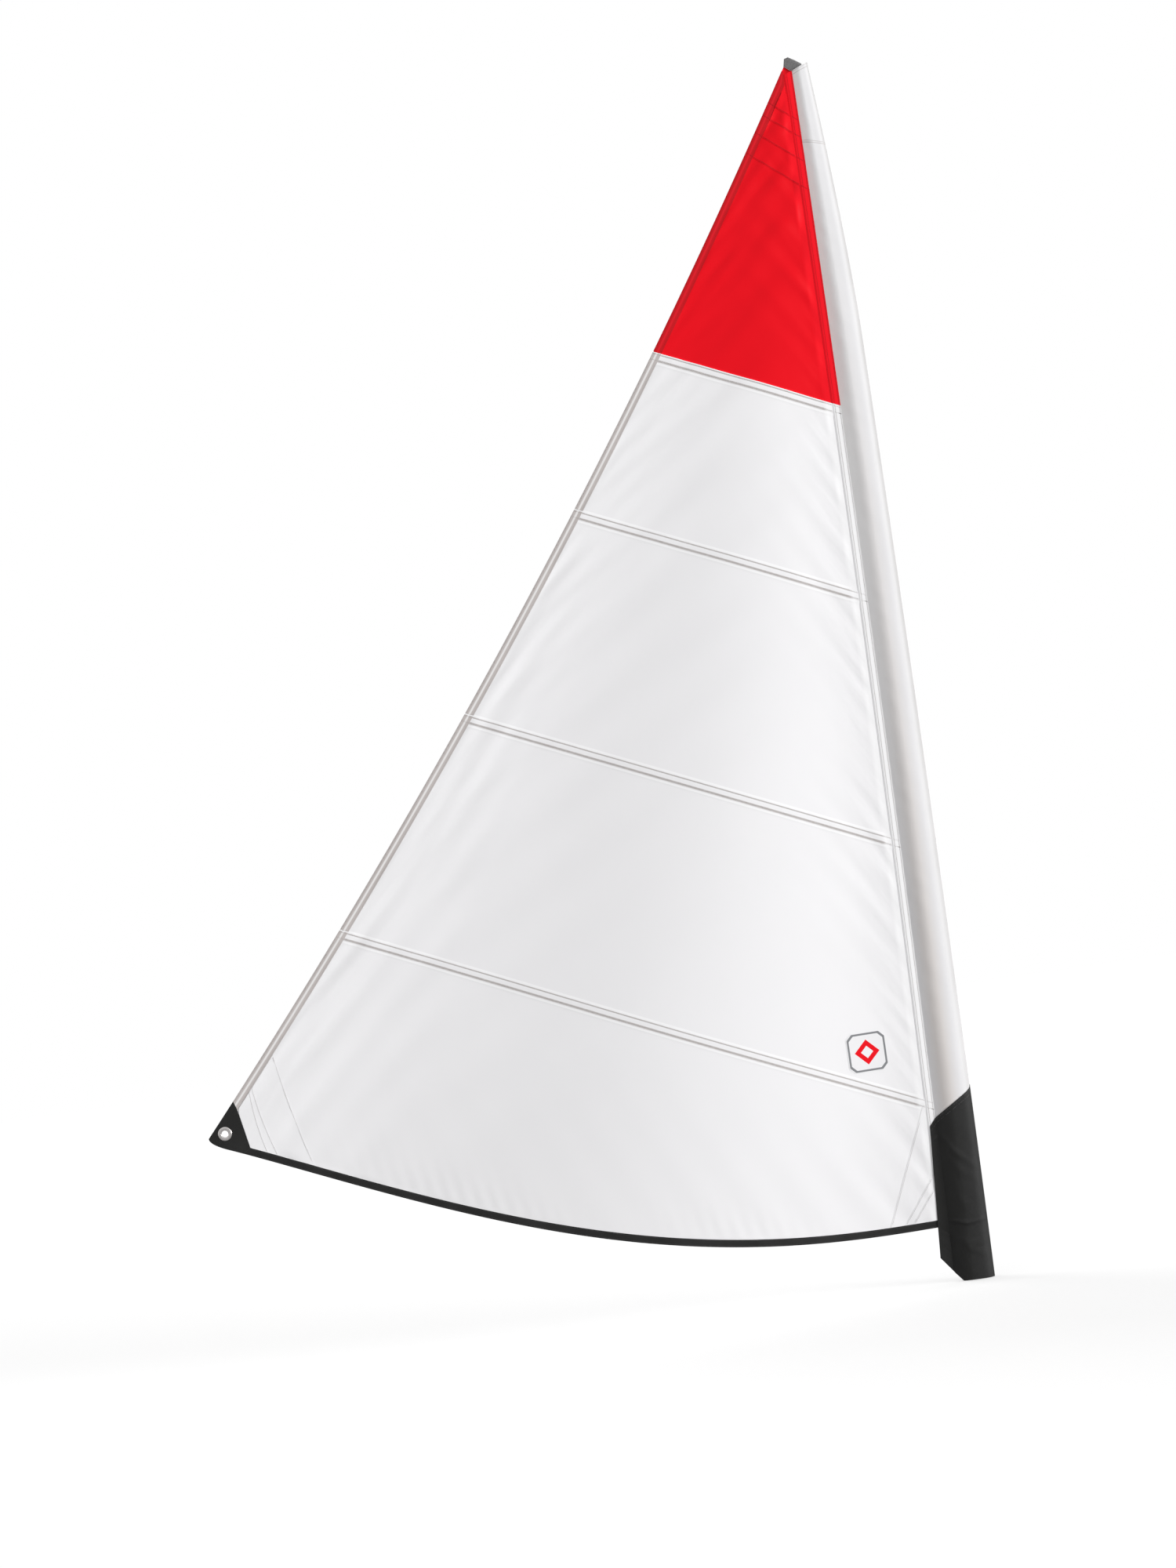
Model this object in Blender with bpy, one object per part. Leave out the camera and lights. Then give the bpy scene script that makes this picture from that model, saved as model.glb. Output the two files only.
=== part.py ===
"""A small dinghy's sail: five cross-cut cloth panels on a sleeve that slides over the mast.

Metres, +Z up. The origin is the centre of the mast sleeve's lower mouth, the mast runs up +Z, the leech
lies towards -X, and the side on show faces -Y. Every piece of cloth is cut flat in plan, X along and Z up,
and is then laid on one shared cambered surface at its own height in the stack, so the layers follow each
other.
"""

import math

import bmesh
import bpy
import numpy as np

# The luff: where the sleeve is sewn to the body, from the head down to the tack
HEAD_Z = 3.893
TACK_Z = 0.178
LUFF_HEAD_X = -0.064
LUFF_TACK_X = -0.094
LUFF_ROUND = 0.013

# The leech: a straight line from the head to the clew, hollowed towards the luff
HEAD_WIDTH = 0.026
HEAD_TIP_RISE = 0.016
CLEW_X = -2.390
CLEW_Z = 0.788
LEECH_HOLLOW = 0.082

# The foot: a round curve from the clew's blunt end to the tack, fullest towards the tack
CLEW_DROP = 0.021
FOOT_ROUND = 0.146
FOOT_SKEW = 1.2
CLEW_CORNER_SHARE = 0.03

# The seams: parallel, each named by the height at which its upper edge meets the sleeve
SEAM_ANGLE = math.radians(24.3)
RED_SEAM_Z = 2.815
UPPER_SEAM_Z = 2.210
MIDDLE_SEAM_Z = 1.420
LOWER_SEAM_Z = 0.578
SEAM_LAP = 0.029
LAP_RAMP = 0.014

# The camber: how full the panels belly towards -Y, and the straight strips along luff and leech
DRAFT = 0.080
DRAFT_EASE = 0.90
DRAFT_PLACE = 0.4
LUFF_STRIP = 0.030
LEECH_STRIP = 0.028

# Cloth, tapes and the room between two layers
CLOTH = 0.0004
TAPE = 0.0005
SLEEVE_WALL = 0.0008
BOOT_WALL = 0.0012
WEBBING = 0.0016
PLATE = 0.0008
GAP = 0.0004

# The mast sleeve: how far its nose stands before the mast's axis, and its half depth round the mast
NOSE_X = 0.028
NOSE_ROUND = 0.014
NOSE_TAPER = 0.040
TAPER_LENGTH = 0.863
TAPER_POWER = 1.5
SLEEVE_TOP_RISE = 0.020
SLEEVE_FOOT_Z = 0.190
SLEEVE_HALF_DEPTH = 0.027
HEAD_HALF_DEPTH = 0.017
TOP_TILT = 0.36
FLANGE_WIDTH = 0.022
LINING_LENGTH = 0.268
LINING_TILT = 0.37
LINING_TOP_DROP = 0.001

# The boot over the sleeve's foot
BOOT_AFT_HEIGHT = 0.500
BOOT_TOP_SLOPE = 0.62
BOOT_TOP_REACH = 0.0215
BOOT_FOOT_REACH = 0.0415
BOOT_CUT_REACH = 0.0305
BOOT_CUT_SLOPE = 1.17
BOOT_CLOSING = 0.050
BOOT_OPEN_BELOW = 0.005

# Tapes, hems and patches
LUFF_TAPE_WIDTH = 0.027
LEECH_HEM_WIDTH = 0.027
FOOT_TAPE_WIDTH = 0.024
HEM_STOP = 0.002
HEAD_PATCH_DROPS = (0.333, 0.256, 0.190, 0.143)
HEAD_PATCH_TOP_DROP = 0.085
HEAD_PATCH_SLOPE = 0.81
CLEW_PATCH_LEECH = 0.142
CLEW_PATCH_FOOT = 0.112
CLEW_PATCH_HEEL = 0.0173
CLEW_PATCH_SHOULDER = 0.17
CLEW_PATCH_BULGE = 0.0035

# Each clew layer's reach up the leech and along the foot, and each tack layer's rise and reach along the foot
CLEW_LAYERS = ((0.335, 0.342), (0.212, 0.224), (0.198, 0.190))
CLEW_LAYER_TOP = 0.132
CLEW_LAYER_SHOULDER = 0.12
CLEW_LAYER_BOW = 0.0065
TACK_LAYERS = ((0.400, 0.157), (0.134, 0.110), (0.093, 0.085))
TACK_LAYER_HEEL = 0.0085
TACK_LAYER_CUT = 0.010

BADGE_SIZE = 0.128
BADGE_REACH = 0.188
BADGE_RISE = 0.102
BADGE_THICKNESS = 0.0003
BADGE_CORNER = 0.018

# The clew's pressed eyelet, measured from the clew's corner
EYELET_REACH = 0.0537
EYELET_RISE = 0.0089
EYELET_HOLE = 0.011
EYELET_BARREL = 0.001
EYELET_FLANGE = 0.0225
EYELET_CROWN = 0.0026
EYELET_BORE_ROUND = (0.0030, 0.0014)
EYELET_EDGE_ROUND = (0.0035, 0.0022)
EYELET_LIP = 0.0035
EYELET_LIP_ROUND = 0.0007
WASHER_RADIUS = 0.020
WASHER = 0.001
WASHER_CHAMFER = 0.0005

# The head panel's tip: where it ends below the leech's top, and the two corners tucked into the webbing
TIP_DROP = 0.014
TIP_LENGTH = 0.160
TIP_CORNER_ROOM = 0.004
TIP_TUCK = ((0.0185, 0.016), (0.0085, 0.012))

# The strap over the head: its open edge and its fold, as steps from the leech's top, the luff's top and the
# nose, with the fold's heights as shares of the strap's rise
STRAP_TOP_RISE = 0.030
STRAP_EDGE = ((0.0013, 0.0015), (-0.0056, 0.0015), (0.0080, 0.0070), (0.0140, -0.0050), (-0.0200, -0.0050))
STRAP_FOLD = ((0.0063, 0.867), (0.0192, 1.0), (0.0070, 0.72), (0.0130, 0.60), (-0.0190, 0.13))
STRAP_NOSE_GAP = 0.010
STRAP_AFT_GAP = 0.0022

# The sleeve's section, as shares of its width from the seam: where it lifts and swells, and its crown's ends
SEAM_LIFT = (0.12, 0.40)
SWELL = 0.28
CROWN_START = 0.48
CROWN_END = 0.74

# How finely the curved cloth is divided
ROW_STEP = 0.100
COLUMN_STEP = 0.060
FINE_COLUMN_STEP = 0.020
FINE_REACH = 0.160
FOOT_STEPS = 32
CORNER_STEPS = 6
EDGE_POINTS = 6
TAPE_POINTS = 16
SLEEVE_ROWS = 20
SLEEVE_CROWDING = 1.25
LINING_ROWS = 5
BOOT_ROWS = 13
ROUND_SIDES = 30
HEM_STEP = 0.110
LEAST_STEP = 0.010
TOUCHING = 0.00001
MERGE = 0.0001

SLOPE = math.tan(SEAM_ANGLE)
SEAM_WAY = np.array([math.cos(SEAM_ANGLE), -math.sin(SEAM_ANGLE)])
LEECH_HEAD = np.array([LUFF_HEAD_X - HEAD_WIDTH, HEAD_Z + HEAD_TIP_RISE])
CLEW = np.array([CLEW_X, CLEW_Z])
LEECH_RUN = CLEW - LEECH_HEAD
LEECH_LENGTH = float(np.hypot(*LEECH_RUN))
LEECH_IN = np.array([-LEECH_RUN[1], LEECH_RUN[0]]) / LEECH_LENGTH
FOOT_START = CLEW - np.array([0.0, CLEW_DROP])
FOOT_RUN = np.array([LUFF_TACK_X, TACK_Z]) - FOOT_START
FOOT_LENGTH = float(np.hypot(*FOOT_RUN))
FOOT_OUT = np.array([FOOT_RUN[1], -FOOT_RUN[0]]) / FOOT_LENGTH
SLEEVE_TOP_Z = HEAD_Z + SLEEVE_TOP_RISE
EYELET = CLEW + np.array([EYELET_REACH, EYELET_RISE])

# Heights above the panels' back face, towards the side on show
LAYER_STEP = CLOTH + GAP
ON_PANEL = LAYER_STEP
ON_LAP = ON_PANEL + LAYER_STEP
SLEEVE_FRONT = ON_LAP + SLEEVE_WALL
SLEEVE_BACK = GAP + SLEEVE_WALL
LUFF_TAPE_FRONT = SLEEVE_FRONT + GAP
LUFF_TAPE_BACK = -SLEEVE_BACK - GAP - CLOTH
BOOT_FRONT = LUFF_TAPE_FRONT + CLOTH + GAP + BOOT_WALL
BOOT_BACK = GAP + BOOT_WALL - LUFF_TAPE_BACK
BOOT_SHUT = GAP / 2 + BOOT_WALL

# Room between a panel's edge and the fold of the tape round it, and between its luff edge and the seam there
EDGE_ROOM = TAPE + GAP
LUFF_ROOM = 0.003


def clear_scene():
    for thing in list(bpy.data.objects):
        bpy.data.objects.remove(thing, do_unlink=True)


def new_material(name, colour, roughness, metallic=0.0):
    material = bpy.data.materials.new(name)
    material.use_nodes = True
    shader = material.node_tree.nodes["Principled BSDF"]
    shader.inputs["Base Color"].default_value = (*colour, 1.0)
    shader.inputs["Roughness"].default_value = roughness
    shader.inputs["Metallic"].default_value = metallic
    return material


def luff_x(z):
    """The seam between the sleeve and the body: a straight line with a little round, fullest half way up."""
    up = (z - TACK_Z) / (HEAD_Z - TACK_Z)
    return LUFF_TACK_X + (LUFF_HEAD_X - LUFF_TACK_X) * up + LUFF_ROUND * 4 * up * (1 - up)


def head_taper(z):
    return np.clip((z - SLEEVE_TOP_Z + TAPER_LENGTH) / TAPER_LENGTH, 0.0, None) ** TAPER_POWER


def nose_x(z):
    """The sleeve's leading edge: slightly round, and falling back towards the head."""
    up = z / SLEEVE_TOP_Z
    return NOSE_X + NOSE_ROUND * 4 * up * (1 - up) - NOSE_TAPER * head_taper(z)


def half_depth(z):
    return SLEEVE_HALF_DEPTH + (HEAD_HALF_DEPTH - SLEEVE_HALF_DEPTH) * head_taper(z)


def level_of(x, z):
    """A measure that is the same all along any line parallel to the seams."""
    return z + SLOPE * x


def luff_height(level):
    """Height at which the line of this level meets the sleeve, by repeated correction."""
    z = level - SLOPE * LUFF_TACK_X
    for _ in range(4):
        z = level - SLOPE * luff_x(z)
    return z


def luff_at(level, inset=0.0):
    """Where the line of this level meets the luff, moved aft along the line by an inset measured along X."""
    z = luff_height(level)
    point = np.stack(np.broadcast_arrays(luff_x(z), z), axis=-1)
    return point - SEAM_WAY * (inset / SEAM_WAY[0])


def leech_point(share, inset=0.0):
    """A point on the leech, from the head at share 0 to the clew at 1, moved in from the edge by inset."""
    share = np.asarray(share, float)[..., None]
    hollow = LEECH_HOLLOW * 4 * share * (1 - share) + inset
    return LEECH_HEAD + LEECH_RUN * share + LEECH_IN * hollow


def leech_at(level, inset=0.0):
    """Where the line of this level crosses the leech, from the root of a quadratic in the leech's share."""
    bow = 4 * LEECH_HOLLOW * level_of(*LEECH_IN)
    start = level_of(*(LEECH_HEAD + LEECH_IN * inset)) - level
    run = level_of(*LEECH_RUN) + bow
    share = -2 * start / (run - np.sqrt(run * run + 4 * bow * start))
    return leech_point(share, inset)


def foot_point(share, inset=0.0):
    """A point on the foot, from the clew at share 0 to the tack at 1, moved up into the body by inset."""
    along = np.asarray(share, float)[..., None]
    skewed = along**FOOT_SKEW
    return FOOT_START + FOOT_RUN * along + FOOT_OUT * (FOOT_ROUND * 4 * skewed * (1 - skewed) - inset)


def foot_shares(first, last):
    """Shares along the foot from first to last, with the shared steps that lie a third of a step inside."""
    steps = np.arange(1, FOOT_STEPS) / FOOT_STEPS
    room = 1 / (3 * FOOT_STEPS)
    return np.array([first, *steps[(steps > first + room) & (steps < last - room)], last])


def clew_corner(shares, inset=0.0):
    """The clew's rounded end: a quadratic curve from the leech round to a point on the foot."""
    t = np.asarray(shares, float)[:, None]
    start = leech_point(1.0, inset)
    turn = foot_point(0.0, inset) + (inset, 0.0)
    end = foot_point(CLEW_CORNER_SHARE, inset)
    return start * (1 - t) ** 2 + turn * 2 * t * (1 - t) + end * t**2


def camber(x, z):
    """How far the cloth stands towards +Y: a draft of s squared times (1 - s) cubed across each seam line."""
    level = level_of(x, z)
    fore = luff_at(level, LUFF_STRIP)[..., 0]
    aft = leech_at(level, LEECH_STRIP)[..., 0]
    chord = np.maximum(fore - aft, MERGE)
    share = np.clip((fore - x) / chord, 0.0, 1.0)
    fullest = DRAFT_PLACE**2 * (1 - DRAFT_PLACE) ** 3
    return -DRAFT * chord**2 / (chord + DRAFT_EASE) * share**2 * (1 - share) ** 3 / fullest


def laid(plan, height):
    """Plan points put on the cambered surface and lifted off it by height, along its normal."""
    x = plan[..., 0]
    z = plan[..., 1]
    step = 0.001
    rise_x = (camber(x + step, z) - camber(x - step, z)) / (2 * step)
    rise_z = (camber(x, z + step) - camber(x, z - step)) / (2 * step)
    lift = height / np.sqrt(rise_x**2 + rise_z**2 + 1)
    return np.stack([x + rise_x * lift, camber(x, z) - lift, z + rise_z * lift], axis=-1)


def keep(name, mesh, material, smooth_angle=40):
    """A finished bmesh made an object, smooth except at its sharp edges."""
    data = bpy.data.meshes.new(name)
    mesh.to_mesh(data)
    mesh.free()
    data.materials.append(material)
    data.shade_smooth()
    data.set_sharp_from_angle(angle=math.radians(smooth_angle))
    thing = bpy.data.objects.new(name, data)
    bpy.context.collection.objects.link(thing)
    return thing


def shell(name, outside, inside, material):
    """A wall between two grids of points, rows by columns, closed by a rim all round."""
    rows, columns = outside.shape[:2]
    mesh = bmesh.new()
    outer = [[mesh.verts.new(point) for point in row] for row in outside]
    inner = [[mesh.verts.new(point) for point in row] for row in inside]
    for i in range(rows - 1):
        for k in range(columns - 1):
            mesh.faces.new((outer[i][k], outer[i][k + 1], outer[i + 1][k + 1], outer[i + 1][k]))
            mesh.faces.new((inner[i][k], inner[i + 1][k], inner[i + 1][k + 1], inner[i][k + 1]))
    for i in (0, rows - 1):
        for k in range(columns - 1):
            mesh.faces.new((outer[i][k], outer[i][k + 1], inner[i][k + 1], inner[i][k]))
    for k in (0, columns - 1):
        for i in range(rows - 1):
            mesh.faces.new((outer[i][k], outer[i + 1][k], inner[i + 1][k], inner[i][k]))
    bmesh.ops.recalc_face_normals(mesh, faces=mesh.faces)
    return keep(name, mesh, material)


def turned(name, profile, centre, material):
    """A closed profile of radius and height turned round an axis along Y, its heights rising towards -Y."""
    mesh = bmesh.new()
    rings = []
    for angle in np.linspace(0, 2 * math.pi, ROUND_SIDES, endpoint=False):
        way = np.array([math.cos(angle), 0.0, math.sin(angle)])
        rings.append([mesh.verts.new(way * r + (centre[0], -h, centre[1])) for r, h in profile])
    for ring, following in zip(rings, rings[1:] + rings[:1]):
        for k in range(len(profile)):
            after = (k + 1) % len(profile)
            mesh.faces.new((ring[k], ring[after], following[after], following[k]))
    bmesh.ops.recalc_face_normals(mesh, faces=mesh.faces)
    return keep(name, mesh, material, smooth_angle=50)


def slice_mesh(mesh, point, normal):
    geometry = mesh.verts[:] + mesh.edges[:] + mesh.faces[:]
    bmesh.ops.bisect_plane(mesh, geom=geometry, dist=TOUCHING, plane_co=point, plane_no=normal)


def column_lines():
    """Upright slicing lines from luff to leech, close together near the luff, where the camber turns most."""
    start = LUFF_HEAD_X - LUFF_STRIP
    fine = np.arange(start, LUFF_TACK_X - LUFF_STRIP - FINE_REACH, -FINE_COLUMN_STEP)
    return [*fine, *np.arange(fine[-1] - COLUMN_STEP, CLEW_X, -COLUMN_STEP)]


def row_levels(low, high):
    """The shared slicing levels strictly between two levels."""
    first = math.floor(low / ROW_STEP) + 1
    return np.arange(first, math.ceil(high / ROW_STEP)) * ROW_STEP


def levels_between(low, high):
    return np.array([low, *row_levels(low, high), high])


def sliced(outlines, turns, curved, fold_edges=0):
    """Flat outlines as one mesh, cut along the shared lines and at the levels where a ramp turns.

    The first fold_edges edges of the first outline are marked as a fold, and stay marked when they are cut.
    """
    mesh = bmesh.new()
    for outline in outlines:
        face = mesh.faces.new([mesh.verts.new((x, 0.0, z)) for x, z in outline])
        for edge in list(face.edges)[:fold_edges]:
            edge.seam = True
    bmesh.ops.remove_doubles(mesh, verts=mesh.verts, dist=TOUCHING)
    if curved:
        plan = plan_of(mesh)
        levels = level_of(plan[:, 0], plan[:, 1])
        for x in column_lines():
            if plan[:, 0].min() < x < plan[:, 0].max():
                slice_mesh(mesh, (x, 0, 0), (1, 0, 0))
        turns = [*row_levels(levels.min(), levels.max()), *turns]
    for level in turns:
        slice_mesh(mesh, (0, 0, level), (SLOPE, 0, 1))
    bmesh.ops.remove_doubles(mesh, verts=mesh.verts, dist=MERGE)
    bmesh.ops.recalc_face_normals(mesh, faces=mesh.faces)
    mesh.verts.index_update()
    return mesh


def plan_of(mesh):
    return np.array([(vert.co.x, vert.co.z) for vert in mesh.verts])


def cloth(name, outlines, material, height=0.0, thickness=CLOTH, ramp=None, curved=True):
    """Cloth cut to flat outlines, sliced along shared lines, laid on the camber and given its thickness.

    ramp, if given, is a function of plan points that adds to the height, with the levels at which it turns.
    """
    climb, turns = ramp or (None, ())
    mesh = sliced(outlines, turns, curved)
    plan = plan_of(mesh)
    lift = height + (climb(plan) if climb else np.zeros(len(plan)))
    for vert, place in zip(mesh.verts, laid(plan, lift)):
        vert.co = place
    mesh.normal_update()
    if sum(face.normal.y * face.calc_area() for face in mesh.faces) > 0:
        bmesh.ops.reverse_faces(mesh, faces=mesh.faces)
    thing = keep(name, mesh, material)
    wall = thing.modifiers.new("thickness", "SOLIDIFY")
    wall.thickness = thickness
    wall.offset = 1.0
    return thing


def binding(name, outer, inner, material):
    """Tape folded over a panel's edge, its two legs sliced along the same lines as the panel that they hold.

    outer and inner are plan points along the fold and along the tape's inner edge.
    """
    flat = sliced([np.concatenate([outer, inner[::-1]])], (), True, fold_edges=len(outer) - 1)
    plan = plan_of(flat)
    tucked = plan.copy()
    for vert in flat.verts:
        folds = [edge for edge in vert.link_edges if edge.seam]
        if folds:
            into = sum((into_face(edge) for edge in folds), np.zeros(2))
            tucked[vert.index] += into / np.hypot(*into) * TAPE
    skins = [laid(plan, ON_PANEL + TAPE), laid(tucked, ON_PANEL), laid(tucked, -GAP), laid(plan, -GAP - TAPE)]
    mesh = bmesh.new()
    front, lining, back_lining, back = [[mesh.verts.new(point) for point in skin] for skin in skins]
    for face in flat.faces:
        ring = [vert.index for vert in face.verts]
        for skin in (front, lining, back_lining, back):
            mesh.faces.new([skin[i] for i in ring])
    for edge in flat.edges:
        if edge.is_boundary:
            i, k = (vert.index for vert in edge.verts)
            pairs = ((front, lining), (back_lining, back))
            if edge.seam:
                pairs = ((front, back), (lining, back_lining))
            for one, other in pairs:
                mesh.faces.new((one[i], one[k], other[k], other[i]))
    for vert in flat.verts:
        if sum(edge.seam for edge in vert.link_edges) == 1:
            mesh.faces.new([skin[vert.index] for skin in (front, lining, back_lining, back)])
    flat.free()
    bmesh.ops.recalc_face_normals(mesh, faces=mesh.faces)
    return keep(name, mesh, material)


def into_face(edge):
    """The direction in plan square to a boundary edge, pointing into its face."""
    start, end = (np.array([vert.co.x, vert.co.z]) for vert in edge.verts)
    centre = edge.link_faces[0].calc_center_median()
    square = np.array([start[1] - end[1], end[0] - start[0]])
    side = np.sign(square @ (np.array([centre.x, centre.z]) - start))
    return square * side / np.hypot(*square)


def hole_through(thing, centre, radius):
    """A round hole along Y, cut by a hidden cylinder."""
    name = f"{thing.name}_hole"
    mesh = bmesh.new()
    bmesh.ops.create_cone(
        mesh, segments=ROUND_SIDES, radius1=radius, radius2=radius, depth=4 * radius, cap_ends=True
    )
    data = bpy.data.meshes.new(name)
    mesh.to_mesh(data)
    mesh.free()
    cutter = bpy.data.objects.new(name, data)
    cutter.location = (centre[0], 0.0, centre[1])
    cutter.rotation_euler = (math.pi / 2, 0.0, 0.0)
    cutter.hide_render = True
    cutter.display_type = "WIRE"
    bpy.context.collection.objects.link(cutter)
    cut = thing.modifiers.new("hole", "BOOLEAN")
    cut.operation = "DIFFERENCE"
    cut.object = cutter


def seam_level(height):
    return level_of(luff_x(height), height)


def lap_level(height):
    """Level of the seam's lower line, where the hidden edge of the panel above ends."""
    return seam_level(height) - SEAM_LAP / math.cos(SEAM_ANGLE)


def climb_at(seam):
    """Height added near a panel's top, where it climbs over the bottom edge of the panel above."""
    high = lap_level(seam) - HEM_STOP
    low = high - LAP_RAMP

    def climb(plan):
        return ON_PANEL * np.clip((level_of(plan[:, 0], plan[:, 1]) - low) / (high - low), 0.0, 1.0)

    return climb, (low, high)


def strips(levels):
    """A panel's luff strip, middle and leech strip between its first and last level, sharing their edges."""
    lines = [
        luff_at(levels, LUFF_ROOM),
        luff_at(levels, LUFF_STRIP),
        leech_at(levels, LEECH_STRIP),
        leech_at(levels, EDGE_ROOM),
    ]
    return [np.concatenate([fore, aft[::-1]]) for fore, aft in zip(lines, lines[1:])]


def make_body_panels(white):
    spans = (
        ("upper_panel", RED_SEAM_Z, UPPER_SEAM_Z),
        ("middle_panel", UPPER_SEAM_Z, MIDDLE_SEAM_Z),
        ("lower_panel", MIDDLE_SEAM_Z, LOWER_SEAM_Z),
    )
    for name, above, below in spans:
        levels = levels_between(lap_level(below), seam_level(above))
        cloth(name, strips(levels), white, ramp=climb_at(above))


def make_head_panel(red):
    """The top panel, whose tip runs on past the luff and is tucked up inside the folded webbing."""
    top = level_of(*LEECH_HEAD) - TIP_DROP
    narrow = top - TIP_LENGTH
    tip_levels = levels_between(narrow, top)
    luff_edge = luff_at(tip_levels, LUFF_ROOM)
    luff_edge = luff_edge[luff_edge[:, 1] < HEAD_Z - TIP_CORNER_ROOM]
    leech_edge = leech_at(tip_levels, EDGE_ROOM)
    corner = np.array([[LUFF_HEAD_X - LUFF_ROOM, HEAD_Z]])
    tuck = LEECH_HEAD + np.array(TIP_TUCK)
    narrow_line = np.array([leech_at(narrow, LEECH_STRIP), luff_at(narrow, LUFF_STRIP)])
    tip = np.concatenate([luff_edge, corner, tuck, leech_edge[::-1], narrow_line])
    cloth("head_panel", [*strips(levels_between(lap_level(RED_SEAM_Z), narrow)), tip], red)


def make_foot_panel(white):
    """The bottom panel, which runs to the round foot and into the clew's rounded corner."""
    top = seam_level(LOWER_SEAM_Z)
    corner = clew_corner(np.linspace(0, 1, CORNER_STEPS + 1), EDGE_ROOM)
    turn = CORNER_STEPS // 2
    strip_foot = corner[turn : turn + 1]
    strip_share = 1.0 - LUFF_STRIP / FOOT_LENGTH
    tack = foot_point([1.0 - LUFF_ROOM / FOOT_LENGTH], EDGE_ROOM)
    under_strip = foot_point([strip_share], EDGE_ROOM)
    luff_levels = levels_between(level_of(*under_strip[0]) + 2 * LEAST_STEP, top)
    leech_levels = levels_between(level_of(*leech_point(1.0, EDGE_ROOM)), top)
    luff_edge = luff_at(luff_levels, LUFF_ROOM)
    luff_line = luff_at(luff_levels, LUFF_STRIP)
    leech_edge = leech_at(leech_levels, EDGE_ROOM)
    leech_line = leech_at(leech_levels, LEECH_STRIP)
    leech_line = leech_line[leech_line[:, 1] > strip_foot[0, 1] + LEAST_STEP]
    foot = foot_point(foot_shares(CLEW_CORNER_SHARE, strip_share)[1:-1], EDGE_ROOM)
    luff_part = np.concatenate([luff_edge[::-1], tack, under_strip, luff_line])
    bottom = np.concatenate([under_strip, foot[::-1], corner[:turn:-1], strip_foot])
    middle = np.concatenate([luff_line[::-1], bottom, leech_line])
    leech_part = np.concatenate([leech_line[::-1], corner[turn:0:-1], leech_edge])
    panel = cloth("foot_panel", [luff_part, middle, leech_part], white, ramp=climb_at(LOWER_SEAM_Z))
    hole_through(panel, EYELET, EYELET_HOLE + EYELET_BARREL + GAP)


def make_leech_hems(red, grey):
    """A folded hem tape on each panel's leech, stopped at the seams, where the laps pass."""
    clew_end = level_of(*leech_point(1 - CLEW_PATCH_LEECH / LEECH_LENGTH)) + GAP
    below_seam = LAP_RAMP + 2 * HEM_STOP
    seams = (RED_SEAM_Z, UPPER_SEAM_Z, MIDDLE_SEAM_Z, LOWER_SEAM_Z)
    tops = [level_of(*LEECH_HEAD) - TIP_DROP, *(lap_level(seam) - below_seam for seam in seams)]
    bottoms = [*(seam_level(seam) + HEM_STOP for seam in seams), clew_end]
    names = ("head_leech_hem", "upper_leech_hem", "middle_leech_hem", "lower_leech_hem", "foot_leech_hem")
    for name, top, bottom in zip(names, tops, bottoms):
        material = red if name == names[0] else grey
        levels = np.linspace(bottom, top, max(4, round((top - bottom) / HEM_STEP)))
        outer = leech_at(levels)
        inner = leech_at(levels, LEECH_HEM_WIDTH)
        room = luff_at(levels, LUFF_TAPE_WIDTH + GAP)[:, 0] - outer[:, 0]
        share = np.minimum(1.0, room / (inner[:, 0] - outer[:, 0]))
        inner = outer + (inner - outer) * share[:, None]
        binding(name, outer, inner, material)


def make_luff_tapes(red, white):
    """Tapes over both sides of the joint between sleeve and body, in each panel's own colour."""
    foot_end = foot_point(1 - LUFF_TAPE_WIDTH / FOOT_LENGTH, FOOT_TAPE_WIDTH + 2 * GAP)
    spans = (
        ("head", seam_level(HEAD_Z) - LUFF_TAPE_WIDTH * SLOPE, seam_level(RED_SEAM_Z) + GAP, red),
        ("body", seam_level(RED_SEAM_Z), level_of(*foot_end), white),
    )
    for part, top, bottom, material in spans:
        levels = np.linspace(bottom, top, TAPE_POINTS)
        outline = np.concatenate([luff_at(levels, GAP), luff_at(levels, LUFF_TAPE_WIDTH)[::-1]])
        cloth(f"{part}_luff_tape_front", [outline], material, LUFF_TAPE_FRONT, curved=False)
        cloth(f"{part}_luff_tape_back", [outline], material, LUFF_TAPE_BACK, curved=False)


def clew_patch_inner(room=0.0):
    """The clew patch's inner edge, from the leech down to the foot, moved out of the patch by room."""
    along_foot = CLEW_PATCH_FOOT / FOOT_LENGTH
    leech_end = leech_point(1 - CLEW_PATCH_LEECH / LEECH_LENGTH)
    toe = foot_point(along_foot)
    heel = foot_point(along_foot + CLEW_PATCH_HEEL / FOOT_LENGTH, FOOT_TAPE_WIDTH)
    shoulder = leech_end + (heel - leech_end) * CLEW_PATCH_SHOULDER + (CLEW_PATCH_BULGE, 0.0)
    return np.array([leech_end, shoulder, heel, toe]) + FOOT_RUN / FOOT_LENGTH * room


def make_foot_tape(black):
    """Black tape folded over the foot, from the clew patch to inside the boot."""
    _, _, heel, toe = clew_patch_inner(2 * GAP)
    first = CLEW_PATCH_FOOT / FOOT_LENGTH
    last = 1 - (LUFF_TAPE_WIDTH + 2 * GAP) / FOOT_LENGTH
    shares = foot_shares(first, last)
    outer = foot_point(shares)
    inner = foot_point(shares, FOOT_TAPE_WIDTH)
    outer[0] = toe
    inner[0] = heel
    binding("foot_tape", outer, inner, black)


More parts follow.
